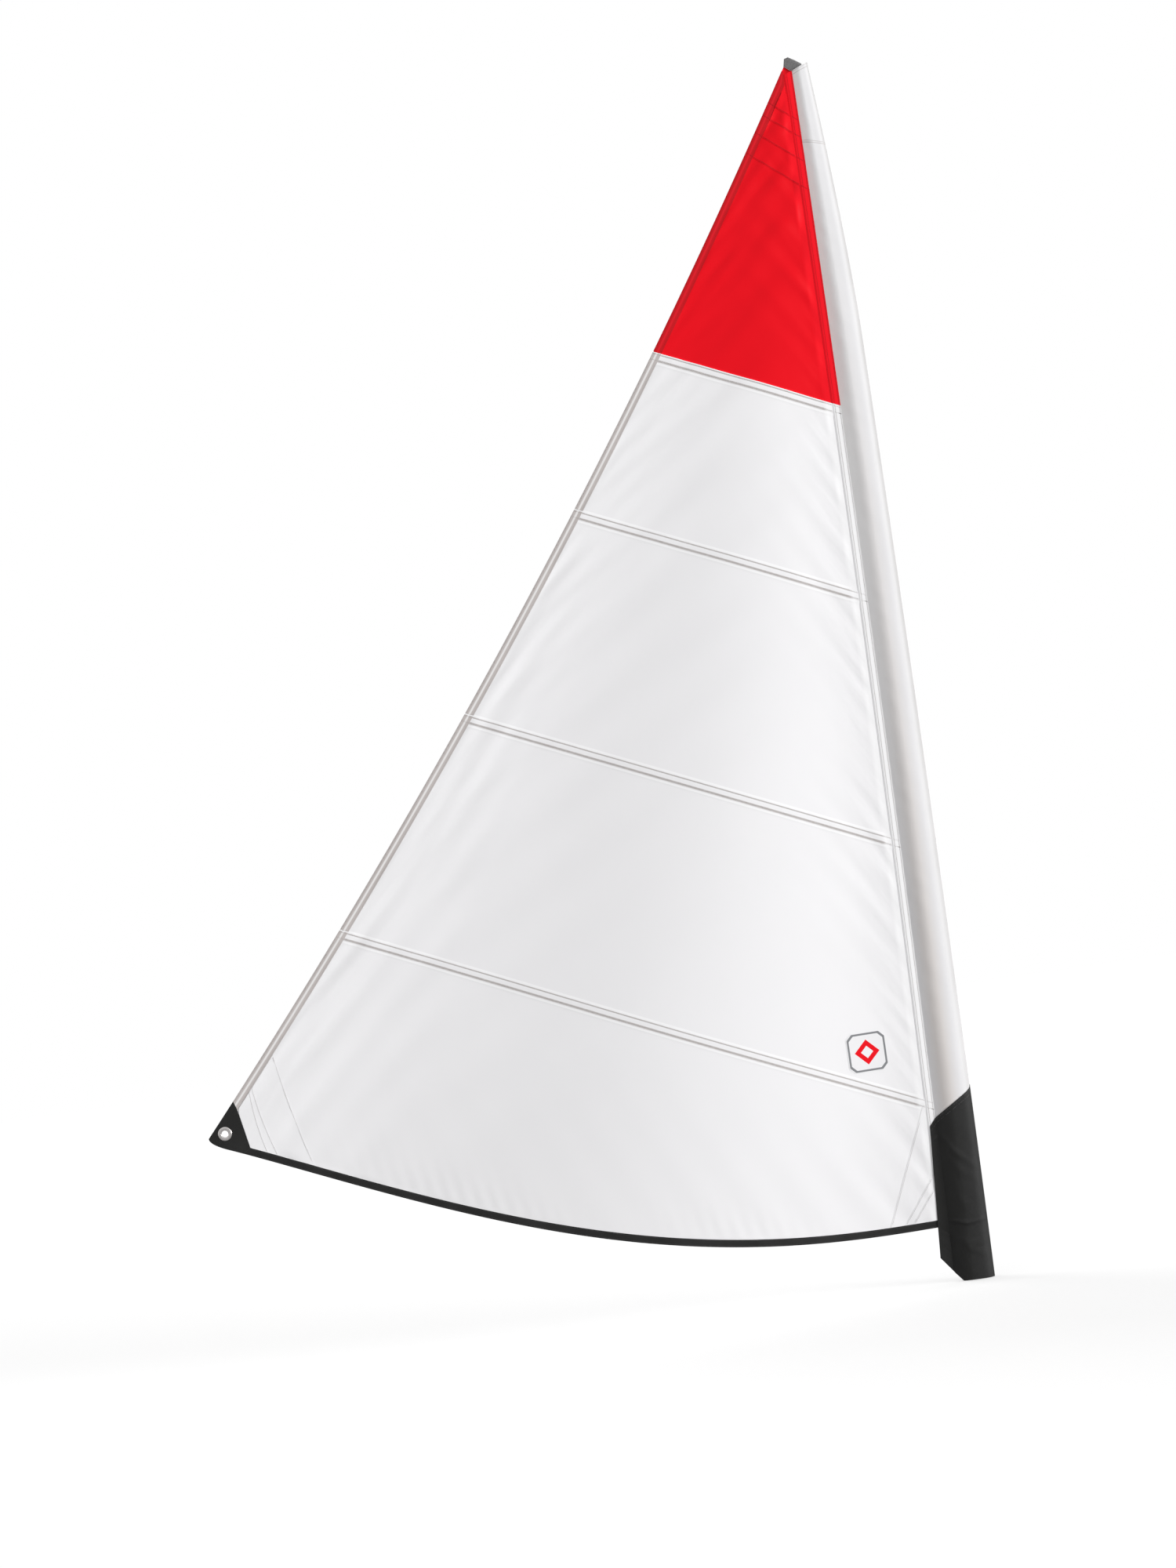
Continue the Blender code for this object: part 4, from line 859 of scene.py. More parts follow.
def sleevecloth():
    """The sleeve's cloth: flange grey with painted shade, painted light higher up, painted shade at the
    nose.
    """
    finish = Finish("sleeve_cloth", Specular_IOR_Level=CLOTH_GLOSS)
    top = finish.field("below_top")
    hem = top.near(*TOP_HEM_LINE) + top.near(*TOP_EDGE_LINE) * TOP_EDGE_SHARE
    rows = hem + finish.field("above_lining").lines(LINING_LINES)
    rows = rows * finish.clouds(*BROKEN) * SLEEVE_ROW_SHARE
    cloth = finish.blend(WHITE, DEEP_WHITE, finish.mottle(TONE_CLOUDS))
    # Grey over the flanges, where the cloth lies doubled, and painted shade on the aft side of the swell,
    # fading upwards
    cloth = finish.blend(cloth, FLANGE_AND_SHADE_GREY, finish.field("behind") * finish.clouds(*BEHIND_CLOUDS))
    # Painted light: paler beside the seam higher up, where the swell's own shade is deep
    cloth = finish.blend(cloth, PAINTED_LIGHT_WHITE, finish.field("slack") * PAINTED_LIGHT_SHARE)
    # Painted shade on the nose, which faces the key lamp
    cloth = finish.blend(cloth, NOSE_SHADE_GREY, finish.field("rubbed") * finish.clouds(*NOSE_CLOUDS))
    finish.coloured(finish.blend(cloth, WARM_GREY, rows.held()))
    finish.raised(finish.woven(WEAVE) * WEAVE_HEIGHT + finish.clouds(*SLEEVE_BUMPS), RELIEF)
    finish.rough(*FIRM_ROUGHNESS)
    return finish.material


sleeve_cloth = sleevecloth()
sleeve_shape = (SLEEVE_FRONT, SLEEVE_BACK, FLANGE_WIDTH)
around = wrapped(np.full((1, SECTION_COLUMNS), SLEEVE_TOP_Z), *sleeve_shape)[..., 0]
aft_of_nose = nose_x(SLEEVE_TOP_Z) - around
sleeve_top = SLEEVE_TOP_Z - TOP_TILT * aft_of_nose
sleeve_z = SLEEVE_FOOT_Z + (sleeve_top - SLEEVE_FOOT_Z) * np.linspace(0, 1, SLEEVE_ROWS)[:, None]
outside = wrapped(sleeve_z, *sleeve_shape, sleeve_creases(sleeve_z))
lining_low = SLEEVE_TOP_Z - LINING_LENGTH + LINING_TILT * aft_of_nose
behind = ramp(FIELD_ACROSS, *BEHIND_ACROSS[0]) * (1 - ramp(FIELD_ACROSS, *BEHIND_ACROSS[1]))
# Masks for the painted tones: behind is the flanges' grey with painted shade, slack is painted light, and
# that at the nose painted shade
fields = {
    "behind": behind * (1 - ramp(sleeve_z, *BEHIND_HEIGHTS)),
    "rubbed": ramp(FIELD_ACROSS, *NOSE_ACROSS) * ramp(sleeve_z, *NOSE_HEIGHTS),
    "slack": (1 - ramp(FIELD_ACROSS, *PAINTED_LIGHT_ACROSS)) * ramp(sleeve_z, *PAINTED_LIGHT_HEIGHTS),
    "below_top": sleeve_top - sleeve_z,
    "above_lining": sleeve_z - lining_low,
}
skins = outside, thinned(outside, SLEEVE_WALL)
sleeve = walled("mast_sleeve", "white_cloth", *skins, sleeve_cloth, fields)
lining_rise = np.linspace(0, 1, LINING_ROWS)[:, None]
lining_z = lining_low + (sleeve_top - LINING_TOP_DROP - lining_low) * lining_rise
beside = wrapped(lining_z, *sleeve_shape, sleeve_creases(lining_z))
lining_face = thinned(beside, SLEEVE_WALL + GAP)[:, LINING_EDGE:-LINING_EDGE]
fields = {"behind": 0.0, "rubbed": 0.0, "slack": 0.0, "below_top": FAR, "above_lining": FAR}
skins = lining_face, thinned(lining_face, CLOTH)
lining = walled("head_lining", "white_cloth", *skins, sleeve_cloth, fields)

# The luff tapes
# Strips over the joint of sleeve and body, on both sides, red beside the red panel and white below it.

LUFF_TAPE_FRONT = SLEEVE_FRONT + GAP
LUFF_TAPE_BACK = -SLEEVE_BACK - GAP - CLOTH
TAPE_STEP = 0.008
FLAT_SHARE = 0.81
FRONT_DROP = 0.0019
BACK_DROP = 0.0008
TAPE_ROWS = (0.0045, 0.0185)
TAPE_LINES = tuple((place, 0.0010, 0.0012) for place in TAPE_ROWS)
TAPE_RIB = (0.012, 0.005, 0.005)
TAPE_RIB_HEIGHT = 0.6
TAPE_CLOUDS = 4.0
TAPE_ROW_CLOUDS = (0.10, 0.40, 150.0, 1.0)
TAPE_BUMPS = (0.0, 0.3, 70.0)
BRIGHT_WHITE = (0.96, 0.957, 0.965)
BRIGHT_RED = (0.97, 0.0060, 0.0180)
TAPE_ACROSS = (*np.linspace(0, 0.84, 9), 0.88, 0.92, 0.96, 1.0)


def tapecloth(name, colour, deep, line):
    """Tape with a rib along it; its two edges turn under, and show as a pale ridge and a grey line."""
    finish = Finish(name, Specular_IOR_Level=CLOTH_GLOSS)
    inset = finish.field("inset")
    cloth = finish.blend(colour, deep, finish.mottle(TAPE_CLOUDS))
    rows = inset.lines(TAPE_LINES) * finish.clouds(*TAPE_ROW_CLOUDS)
    finish.coloured(finish.blend(cloth, line, rows.held()))
    ridge = inset.near(*TAPE_RIB) * TAPE_RIB_HEIGHT + finish.clouds(*TAPE_BUMPS)
    finish.raised(ridge + finish.woven(WEAVE) * WEAVE_HEIGHT, RELIEF)
    finish.rough(*FIRM_ROUGHNESS)
    return finish.material


white_tape = tapecloth("white_luff_tape", BRIGHT_WHITE, PALE_WHITE, WARM_GREY)
red_tape = tapecloth("red_luff_tape", BRIGHT_RED, PALE_RED, DARK_RED)
foot_end = foot_point(1 - LUFF_TAPE_WIDTH / FOOT_LENGTH, FOOT_TAPE_WIDTH + 2 * GAP)
luff_spans = (
    ("head", seam_level(HEAD_Z), seam_level(RED_SEAM_Z) + GAP, red_tape, "red_cloth"),
    ("body", seam_level(RED_SEAM_Z), float(level_of(*foot_end)), white_tape, "white_cloth"),
)
across = np.array(TAPE_ACROSS)
inset = GAP + (LUFF_TAPE_WIDTH - GAP) * across
drop = eased(ramp(across, FLAT_SHARE, 1.0))
heights = {"front": LUFF_TAPE_FRONT - FRONT_DROP * drop, "back": LUFF_TAPE_BACK + BACK_DROP * drop}
for part, top, bottom, finish, slot in luff_spans:
    if part == "head":
        cut_z = SLEEVE_TOP_Z - TOP_TILT * (nose_x(SLEEVE_TOP_Z) - LUFF_HEAD_X + inset)
        top = level_of(LUFF_HEAD_X - inset, cut_z)
    rows = round((np.max(top) - bottom) / TAPE_STEP)
    levels = top + (bottom - top) * np.linspace(0, 1, rows)[:, None]
    plan = luff_at(levels, inset[None])
    for side, height in heights.items():
        skins = skins_at(plan, height, CLOTH)
        piece = walled(f"{part}_luff_tape_{side}", slot, *skins, finish, {"inset": inset[None]})

# The leech hems
# A folded tape on each panel's leech, which runs up over its seam's lap to the hem above. The fold shows as
# a grey band, a pale one and a grey one, for the cloth under it is three thick there; the pale one is a
# painted highlight on its rounded middle.

HEM_STEP = 0.008
LEG_POINTS = 7
FOLD_POINTS = 9
HEM_ROWS = (0.0045, 0.0235)
HEM_RIDGE_AND_HIGHLIGHT = (0.0130, 0.0045, 0.0018)
HEM_HOLE_LINE = (0.0035, 0.0008, 0.0008)
HEM_FOLD_LINE = (0.0, 0.0012, 0.0010)
HEM_CLOUDS = 5.0
HOLE_CLOUDS = 420.0
HOLE_CUT = (0.56, 0.05)
HOLE_SHARE = 0.7
FOLD_LINE_SHARE = 0.5
HEM_BAND_HEIGHT = 0.25
HEM_BUMPS = (0.0, 0.25, 70.0)
HEM_ROUGHNESS = (0.42, 0.52, 14.0)
MARK_SHADE = 0.45


def folded(width):
    """A folded tape's section as insets and heights, of its outer skin and then of its inner one.

    Each runs along the front leg to the fold, round half a circle, and back along the other leg."""
    high = ON_PANEL + TAPE
    low = -GAP - TAPE
    centre = (high - low) / 2
    skins = []
    for wall in (0.0, TAPE):
        radius = centre - wall
        leg = np.linspace(width, centre, LEG_POINTS)
        turn = np.radians(np.linspace(90, -90, FOLD_POINTS))[1:-1]
        insets = np.concatenate([leg, centre - radius * np.cos(turn), leg[::-1]])
        flat = np.full(LEG_POINTS, radius)
        rise = np.concatenate([flat, radius * np.sin(turn), -flat])
        skins.append((insets, (high + low) / 2 + rise))
    return skins


def hemcloth(name, dark, pale, deep):
    """A folded hem's bands by distance from the leech, the pale one a painted highlight, and dark holes by
    the fold.
    """
    finish = Finish(name, Specular_IOR_Level=CLOTH_GLOSS)
    inset = finish.field("inset")
    # The pale band: a painted highlight, over a ridge in the bumps
    band = inset.near(*HEM_RIDGE_AND_HIGHLIGHT)
    cloth = finish.blend(finish.blend(dark, deep, finish.mottle(HEM_CLOUDS)), pale, band)
    holes = finish.mottle(HOLE_CLOUDS, 0.0).past(*HOLE_CUT) * inset.near(*HEM_HOLE_LINE)
    marks = (holes * HOLE_SHARE + inset.near(*HEM_FOLD_LINE) * FOLD_LINE_SHARE).held()
    finish.coloured(finish.blend(cloth, tuple(value * MARK_SHADE for value in dark), marks))
    relief = band * HEM_BAND_HEIGHT + finish.clouds(*HEM_BUMPS) + finish.woven(WEAVE) * WEAVE_HEIGHT
    finish.raised(relief, RELIEF)
    finish.rough(*HEM_ROUGHNESS)
    return finish.material


grey_hem = hemcloth(
    "grey_leech_hem", dark=(0.53, 0.49, 0.478), pale=(0.74, 0.725, 0.72), deep=(0.46, 0.425, 0.413)
)
red_hem = hemcloth(
    "red_leech_hem", dark=(0.56, 0.0065, 0.012), pale=(0.66, 0.009, 0.018), deep=(0.50, 0.006, 0.011)
)
clew_end = float(level_of(*leech_point(1 - CLEW_PATCH_LEECH / LEECH_LENGTH))) + GAP
seams = (RED_SEAM_Z, UPPER_SEAM_Z, MIDDLE_SEAM_Z, LOWER_SEAM_Z)
hem_tops = [head_top, *(seam_level(seam) - HEM_STOP for seam in seams)]
hem_bottoms = [*(seam_level(seam) + HEM_STOP for seam in seams), clew_end]
patch_edge = clew_patch_inner(GAP)[:3]
hems = {}
for i, name in enumerate(("head", "upper", "middle", "lower", "foot")):
    top, bottom = hem_tops[i], hem_bottoms[i]
    rows = round((top - bottom) / HEM_STEP)
    levels = np.linspace(top, bottom, rows)
    outer = leech_at(levels)[:, 0]
    room = luff_at(levels, LUFF_TAPE_WIDTH + GAP)[:, 0] - outer
    reach = np.minimum(1.0, room / (leech_at(levels, LEECH_HEM_WIDTH)[:, 0] - outer))[:, None]
    skins = []
    for insets, heights in folded(LEECH_HEM_WIDTH):
        insets = insets * reach
        start = leech_share(leech_at(top, insets[0]))
        end = leech_share(leech_at(bottom, insets[-1]))
        if name == "foot":
            end = np.interp(insets[-1], from_leech(*patch_edge.T), leech_share(patch_edge))
        down = start + (end - start) * np.linspace(0, 1, rows)[:, None]
        plan = leech_point(down, insets)
        if name != "head":
            climb = lap_climb(level_of(plan[..., 0], plan[..., 1]), seams[i - 1])
            heights = heights + climb * (heights > (ON_PANEL - GAP) / 2)
        skins.append(laid(plan, heights))
    finish, slot = (red_hem, "red_cloth") if name == "head" else (grey_hem, "grey_tape")
    fields = {"inset": folded(LEECH_HEM_WIDTH)[0][0][None]}
    hems[name] = walled(f"{name}_leech_hem", slot, *skins, finish, fields)

# The foot tape
# Heavy black tape folded over the round foot, from the clew patch to inside the boot.

BLACK = (0.0075, 0.0075, 0.0072)
BLOOM_AND_HIGHLIGHT_BLACK = (0.019, 0.019, 0.0185)
BLOOM_AND_HIGHLIGHT_TAPE = (0.024, 0.0235, 0.024)
BLACK_GLOSS = 0.25
BLOOM = (0.42, 0.3)
BLOOM_CLOUDS = 9.0
BLOOM_SHARE = 0.5
EDGE_HIGHLIGHT = (0.0004, 0.0016)
EDGE_HIGHLIGHT_SHARE = 0.6
BLACK_RELIEF = 0.0005
BLACK_WEAVE_HEIGHT = 0.6
BLACK_BUMPS = (0.0, 0.4, 40.0)
BLACK_ROUGHNESS = (0.48, 0.68, 20.0)
FOOT_TAPE_WEAVE = 0.0022
FOOT_ROWS = (0.0035, 0.0205)


def blackcloth(name, pitch, pale):
    """Coarse black cloth: a weave that shows, a dusty bloom, and a painted highlight along its folded
    edges.
    """
    finish = Finish(name, Specular_IOR_Level=BLACK_GLOSS)
    rim = finish.field("rim")
    dust_and_painted_light = finish.mottle(BLOOM_CLOUDS).past(*BLOOM) * BLOOM_SHARE
    # A painted highlight along the folded edges, in the pale tone
    dust_and_painted_light = dust_and_painted_light + (1 - rim.past(*EDGE_HIGHLIGHT)) * EDGE_HIGHLIGHT_SHARE
    finish.coloured(finish.blend(BLACK, pale, dust_and_painted_light.held()))
    relief = finish.woven(pitch) * BLACK_WEAVE_HEIGHT + finish.clouds(*BLACK_BUMPS)
    finish.raised(relief, BLACK_RELIEF)
    finish.rough(*BLACK_ROUGHNESS)
    return finish.material


black_tape = blackcloth("black_foot_tape", FOOT_TAPE_WEAVE, BLOOM_AND_HIGHLIGHT_TAPE)
tape_first = (CLEW_PATCH_FOOT + GAP / 4) / FOOT_LENGTH
tape_last = 1 - (LUFF_TAPE_WIDTH + 2 * GAP) / FOOT_LENGTH
along = np.linspace(0, 1, round(FOOT_LENGTH / HEM_STEP))[:, None]
skins = []
for insets, heights in folded(FOOT_TAPE_WIDTH):
    start = tape_first + CLEW_PATCH_HEEL / FOOT_LENGTH * insets / FOOT_TAPE_WIDTH
    skins.append(laid(foot_point(start + (tape_last - start) * along, insets[None]), heights))
fields = {"rim": np.minimum(insets, FOOT_TAPE_WIDTH - insets)[None]}
foot_tape = walled("foot_tape", "black_cloth", *skins, black_tape, fields)

# The clew patches and the eyelet
# Two stiff black plates, one each side of the panel, pressed together by a plated eyelet on a washer.

PLATE = 0.0008
EYELET = CLEW + (0.0537, 0.0089)
EYELET_HOLE = 0.011
EYELET_BARREL = 0.001
EYELET_FLANGE = 0.0225
EYELET_CROWN = 0.0026
EYELET_LIP = 0.0035
WASHER_RADIUS = 0.020
WASHER = 0.001
EYELET_BORE_ROUND = np.array([0.0030, 0.0014])
EYELET_EDGE_ROUND = np.array([0.0035, 0.0022])
EYELET_LIP_ROUND = 0.0007
WASHER_CHAMFER = 0.0005
HOLE_ROOM = EYELET_HOLE + EYELET_BARREL + GAP
ROUND_SIDES = 96
ROUND_POINTS = 12
PLATE_POINTS = (40, 40, 20, 60)
PLATE_SIDES = 240
PLATE_RINGS = 16
PLATE_WEAVE = 0.0024
CUT_DEPTH = 0.1

black_plate = blackcloth("black_clew_patch", PLATE_WEAVE, BLOOM_AND_HIGHLIGHT_BLACK)
leech_end, shoulder, heel, toe = clew_patch_inner()
on_leech, on_corner, on_foot, on_inner = PLATE_POINTS
outline = np.concatenate([
    leech_point(np.linspace(1 - CLEW_PATCH_LEECH / LEECH_LENGTH, 1, on_leech)),
    clew_corner(np.linspace(0, 1, on_corner)[1:]),
    foot_point(np.linspace(CLEW_CORNER_SHARE, CLEW_PATCH_FOOT / FOOT_LENGTH, on_foot)[1:]),
    resampled([toe, heel, shoulder, leech_end], on_inner)[1:],
])
outline = resampled(outline, PLATE_SIDES + 1)[:-1]
way = outline - EYELET
hole = EYELET + way / np.linalg.norm(way, axis=1, keepdims=True) * HOLE_ROOM
out = np.linspace(0, 1, PLATE_RINGS)[:, None, None]
plan = hole[None] * (1 - out) + outline[None] * out
fields = {"rim": np.linalg.norm(plan - outline[None], axis=-1)}
clew_patches = []
for side, height in (("front", ON_PANEL), ("back", -GAP - PLATE)):
    node = f"clew_patch_{side}"
    skins = skins_at(plan, height, PLATE)
    clew_patches.append(walled(node, "black_cloth", *skins, black_plate, fields, ring=True))

# The foot panel is cut through behind the plates
cutter_mesh = bmesh.new()
upright = Matrix.Translation((EYELET[0], 0.0, EYELET[1])) @ Matrix.Rotation(math.pi / 2, 4, "X")
round_hole = {"segments": ROUND_SIDES, "radius1": HOLE_ROOM, "radius2": HOLE_ROOM, "depth": CUT_DEPTH}
bmesh.ops.create_cone(cutter_mesh, cap_ends=True, matrix=upright, **round_hole)
cutter_data = bpy.data.meshes.new("hole_cutter")
cutter_mesh.to_mesh(cutter_data)
cutter_mesh.free()
cutter = bpy.data.objects.new("hole_cutter", cutter_data)
bpy.context.collection.objects.link(cutter)
cut = body["foot"].modifiers.new("hole", "BOOLEAN")
cut.object = cutter
cut.solver = "EXACT"
bpy.context.view_layer.update()
whole = body["foot"].evaluated_get(bpy.context.evaluated_depsgraph_get())
cut_mesh = bpy.data.meshes.new_from_object(whole)
body["foot"].modifiers.clear()
body["foot"].data = cut_mesh
bpy.data.objects.remove(cutter, do_unlink=True)

NICKEL = (0.60, 0.575, 0.565)
DULL_NICKEL = (0.48, 0.46, 0.455)
NICKEL_CLOUDS = 60.0
NICKEL_ROUGHNESS = (0.22, 0.38, 160.0, 3.0)
NICKEL_BUMPS = (0.0, 0.3, 700.0)
NICKEL_RELIEF = 0.0001

nickel = Finish("nickel_plate", Metallic=1.0)
nickel.coloured(nickel.blend(NICKEL, DULL_NICKEL, nickel.mottle(NICKEL_CLOUDS)))
nickel.rough(*NICKEL_ROUGHNESS)
nickel.raised(nickel.clouds(*NICKEL_BUMPS), NICKEL_RELIEF)


def turned(node, profile):
    """A closed profile of radius and height turned round the eyelet's axis, along Y."""
    profile = np.array(profile)
    angle = np.linspace(0, 2 * math.pi, ROUND_SIDES, endpoint=False)[:, None]
    radius = profile[None, :, 0]
    x = EYELET[0] + radius * np.cos(angle)
    z = EYELET[1] + radius * np.sin(angle)
    y = np.broadcast_to(-profile[None, :, 1], x.shape)
    corner = np.arange(x.size).reshape(x.shape)
    after = np.roll(corner, -1, axis=0)
    faces = [corner, np.roll(corner, -1, axis=1), np.roll(after, -1, axis=1), after]
    faces = np.stack(faces, axis=-1).reshape(-1, 4)
    r, h = profile.T
    area = np.sum(r * np.roll(h, -1) - np.roll(r, -1) * h)
    faces = faces if area < 0 else faces[:, ::-1]
    points = np.stack([x, y, z], axis=-1)
    piece = shown(f"{node}_pressed", points, faces, nickel.material, sharp=50)
    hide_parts(node)
    return piece


def rounded(centre, size, first, last):
    """Part of an ellipse between two angles, as radius and height."""
    turn = np.radians(np.linspace(first, last, ROUND_POINTS))[:, None]
    return np.array(centre) + size * np.hstack([np.cos(turn), np.sin(turn)])


front = ON_PANEL + PLATE + GAP
washer_front = -2 * GAP - PLATE
lip = washer_front - WASHER - GAP
barrel = EYELET_HOLE + EYELET_BARREL
crown_height = front + EYELET_CROWN
bore_centre = np.array([EYELET_HOLE, crown_height]) + EYELET_BORE_ROUND * (1, -1)
edge_centre = np.array([EYELET_FLANGE, crown_height]) - EYELET_EDGE_ROUND
lip_back = lip - EYELET_BARREL
lip_inner = (EYELET_HOLE + EYELET_LIP_ROUND, lip_back + EYELET_LIP_ROUND)
lip_outer = (barrel + EYELET_LIP - EYELET_LIP_ROUND, lip - EYELET_LIP_ROUND)
eyelet = turned("clew_eyelet", np.concatenate([
    rounded(bore_centre, EYELET_BORE_ROUND, 180, 90),
    rounded(edge_centre, EYELET_EDGE_ROUND, 90, 0),
    [(EYELET_FLANGE, front), (barrel, front), (barrel, lip)],
    rounded(lip_outer, EYELET_LIP_ROUND, 90, -20),
    rounded(lip_inner, EYELET_LIP_ROUND, 270, 180),
]))
washer_back = washer_front - WASHER
washer = turned("eyelet_washer", [
    (barrel + GAP, washer_front),
    (WASHER_RADIUS, washer_front),
    (WASHER_RADIUS, washer_back + WASHER_CHAMFER),
    (WASHER_RADIUS - WASHER_CHAMFER, washer_back),
    (barrel + GAP, washer_back),
])

# The badge
# A plain square patch with cut corners, sewn on above the lower seam near the luff, with a diamond on it.

BADGE_SIZE = 0.128
BADGE_REACH = 0.188
BADGE_RISE = 0.102
BADGE_THICKNESS = 0.0003
BADGE_CORNER = 0.018
BADGE_GRID = 61
BADGE_BORDER = (0.0060, 0.0056, 0.0006)
BADGE_ROW = (0.0030, 0.001, 0.001)
BORDER_GREY = (0.22, 0.225, 0.235)
DIAMOND_OUTER = 0.62
DIAMOND_INNER = 0.30
DIAMOND_SOFT = 0.02
BADGE_CLOUDS = 8.0
BADGE_WEAVE = 0.0014
BADGE_WEAVE_HEIGHT = 0.3
BADGE_ROW_HEIGHT = 0.4
BADGE_RELIEF = 0.0004
BADGE_ROUGHNESS = (0.45, 0.55, 20.0)

badge_centre = luff_at(seam_level(LOWER_SEAM_Z), BADGE_REACH) + (0.0, BADGE_RISE)
u, w = np.meshgrid(np.linspace(-1, 1, BADGE_GRID), np.linspace(1, -1, BADGE_GRID))
widest = np.maximum(np.maximum(abs(u), abs(w)), NEARLY_NONE)
cut_share = 2 - BADGE_CORNER / (BADGE_SIZE / 2)
shrink = np.minimum(1.0, cut_share * widest / np.maximum(abs(u) + abs(w), NEARLY_NONE))
plan = badge_centre + np.stack([u * shrink, w * shrink], axis=-1) * (BADGE_SIZE / 2)
badge_cloth = Finish("badge_cloth", Specular_IOR_Level=CLOTH_GLOSS)
diamond = badge_cloth.field("diamond")
rim = badge_cloth.field("rim")
face = badge_cloth.blend(WHITE, DEEP_WHITE, badge_cloth.mottle(BADGE_CLOUDS))
face = badge_cloth.blend(face, RED, 1 - diamond.past(DIAMOND_OUTER, DIAMOND_SOFT))
face = badge_cloth.blend(face, WHITE, 1 - diamond.past(DIAMOND_INNER, DIAMOND_SOFT))
badge_cloth.coloured(badge_cloth.blend(face, BORDER_GREY, rim.near(*BADGE_BORDER)))
relief = badge_cloth.woven(BADGE_WEAVE) * BADGE_WEAVE_HEIGHT + rim.near(*BADGE_ROW) * BADGE_ROW_HEIGHT
badge_cloth.raised(relief, BADGE_RELIEF)
badge_cloth.rough(*BADGE_ROUGHNESS)
fields = {
    "diamond": abs(u * shrink) + abs(w * shrink),
    "rim": (1 - widest) * BADGE_SIZE / 2,
}
skins = skins_at(plan, ON_PANEL, BADGE_THICKNESS)
badge = walled("class_badge", "badge", *skins, badge_cloth.material, fields)

# The boot
# Heavy black cloth folded round the sleeve's foot, cut on a slant at its top and sewn shut below the tack.

BOOT_WALL = 0.0012
BOOT_AFT_HEIGHT = 0.500
BOOT_TOP_SLOPE = 0.62
BOOT_TOP_REACH = 0.0215
BOOT_FOOT_REACH = 0.0415
BOOT_CUT_REACH = 0.0305
BOOT_CUT_SLOPE = 1.17
BOOT_CLOSING = 0.050
BOOT_OPEN_BELOW = 0.005
BOOT_ROWS = 130
BOOT_TOP_CALM = 0.03
BOOT_SEAM_CALM = 0.12
BOOT_WOBBLE = 0.004
BOOT_WEAVE = 0.0026
BOOT_RELIEF = 0.0009
BOOT_BLACK = (0.0085, 0.0085, 0.0080)
BOOT_DUST_AND_LIT = (0.020, 0.020, 0.020)
BOOT_PALE = (0.075, 0.073, 0.073)
BOOT_ROW_LINES = ((0.006, 0.0010, 0.0010), (0.018, 0.0010, 0.0010))
BOOT_HEM = (0.012, 0.010, 0.003)
BOOT_HEM_HEIGHT = 0.7
BOOT_LIT_SIDE = (0.42, 0.30)
BOOT_LIT_SIDE_SHARE = 0.7
BOOT_DUST = (0.0, 0.3, 11.0)
BOOT_ROW_CLOUDS = 260.0
BOOT_ROW_CUT = (0.48, 0.06)
BOOT_ROW_SHARE = 0.8
BOOT_EDGE = (0.0006, 0.0016)
BOOT_EDGE_SHARE = 0.5
BOOT_WEAVE_HEIGHT = 0.45
BOOT_BUMPS = (0.0, 0.9, 38.0, 3.0)
BOOT_ROUGHNESS = (0.46, 0.66, 20.0)
BOOT_FRONT = LUFF_TAPE_FRONT + CLOTH + GAP + BOOT_WALL
BOOT_BACK = GAP + BOOT_WALL - LUFF_TAPE_BACK
BOOT_SHUT = GAP / 2 + BOOT_WALL
# Each crease: where it starts and ends in x and z, its half width, and how far it stands out
BOOT_CREASES = (
    (-0.098, 0.485, 0.016, 0.345, 0.009, 0.0030),
    (-0.100, 0.190, 0.030, 0.182, 0.005, 0.0036),
    (-0.090, 0.430, 0.010, 0.300, 0.014, 0.0014),
    (-0.085, 0.150, 0.020, 0.060, 0.012, 0.0018),
    (-0.060, 0.120, 0.028, 0.120, 0.010, 0.0014),
    (-0.070, 0.330, -0.020, 0.200, 0.012, 0.0012),
)


def boot_creases(x, z):
    """Folds that stand out of the boot, each a bell across a line and dying out at its two ends."""
    total = np.zeros_like(x)
    for x0, z0, x1, z1, half_width, height in BOOT_CREASES:
        run = math.hypot(x1 - x0, z1 - z0)
        along = ((x - x0) * (x1 - x0) + (z - z0) * (z1 - z0)) / run**2
        across = ((x - x0) * (z1 - z0) - (z - z0) * (x1 - x0)) / run + BOOT_WOBBLE * np.sin(along * 9)
        ends = np.clip(along * (1 - along) * 4, 0.0, None)
        total = total + height * ends * np.exp(-((across / half_width) ** 2))
    return total


def bootcloth():
    """The boot's coarse cloth: black, with painted light towards the nose, dust, and two rows at its top.
    """
    finish = Finish("boot_cloth", Specular_IOR_Level=BLACK_GLOSS)
    top = finish.field("below_top")
    # Painted light on the nose side, which faces the key lamp, and dust in clouds
    dust_and_painted_light = finish.field("across").past(*BOOT_LIT_SIDE) * BOOT_LIT_SIDE_SHARE + finish.clouds(*BOOT_DUST)
    cloth = finish.blend(BOOT_BLACK, BOOT_DUST_AND_LIT, dust_and_painted_light.held())
    rows = top.lines(BOOT_ROW_LINES) * finish.mottle(BOOT_ROW_CLOUDS, 0.0).past(*BOOT_ROW_CUT)
    marks = (rows * BOOT_ROW_SHARE + (1 - top.past(*BOOT_EDGE)) * BOOT_EDGE_SHARE).held()
    finish.coloured(finish.blend(cloth, BOOT_PALE, marks))
    relief = finish.woven(BOOT_WEAVE) * BOOT_WEAVE_HEIGHT + finish.clouds(*BOOT_BUMPS)
    finish.raised(relief + top.near(*BOOT_HEM) * BOOT_HEM_HEIGHT, BOOT_RELIEF)
    finish.rough(*BOOT_ROUGHNESS)
    return finish.material


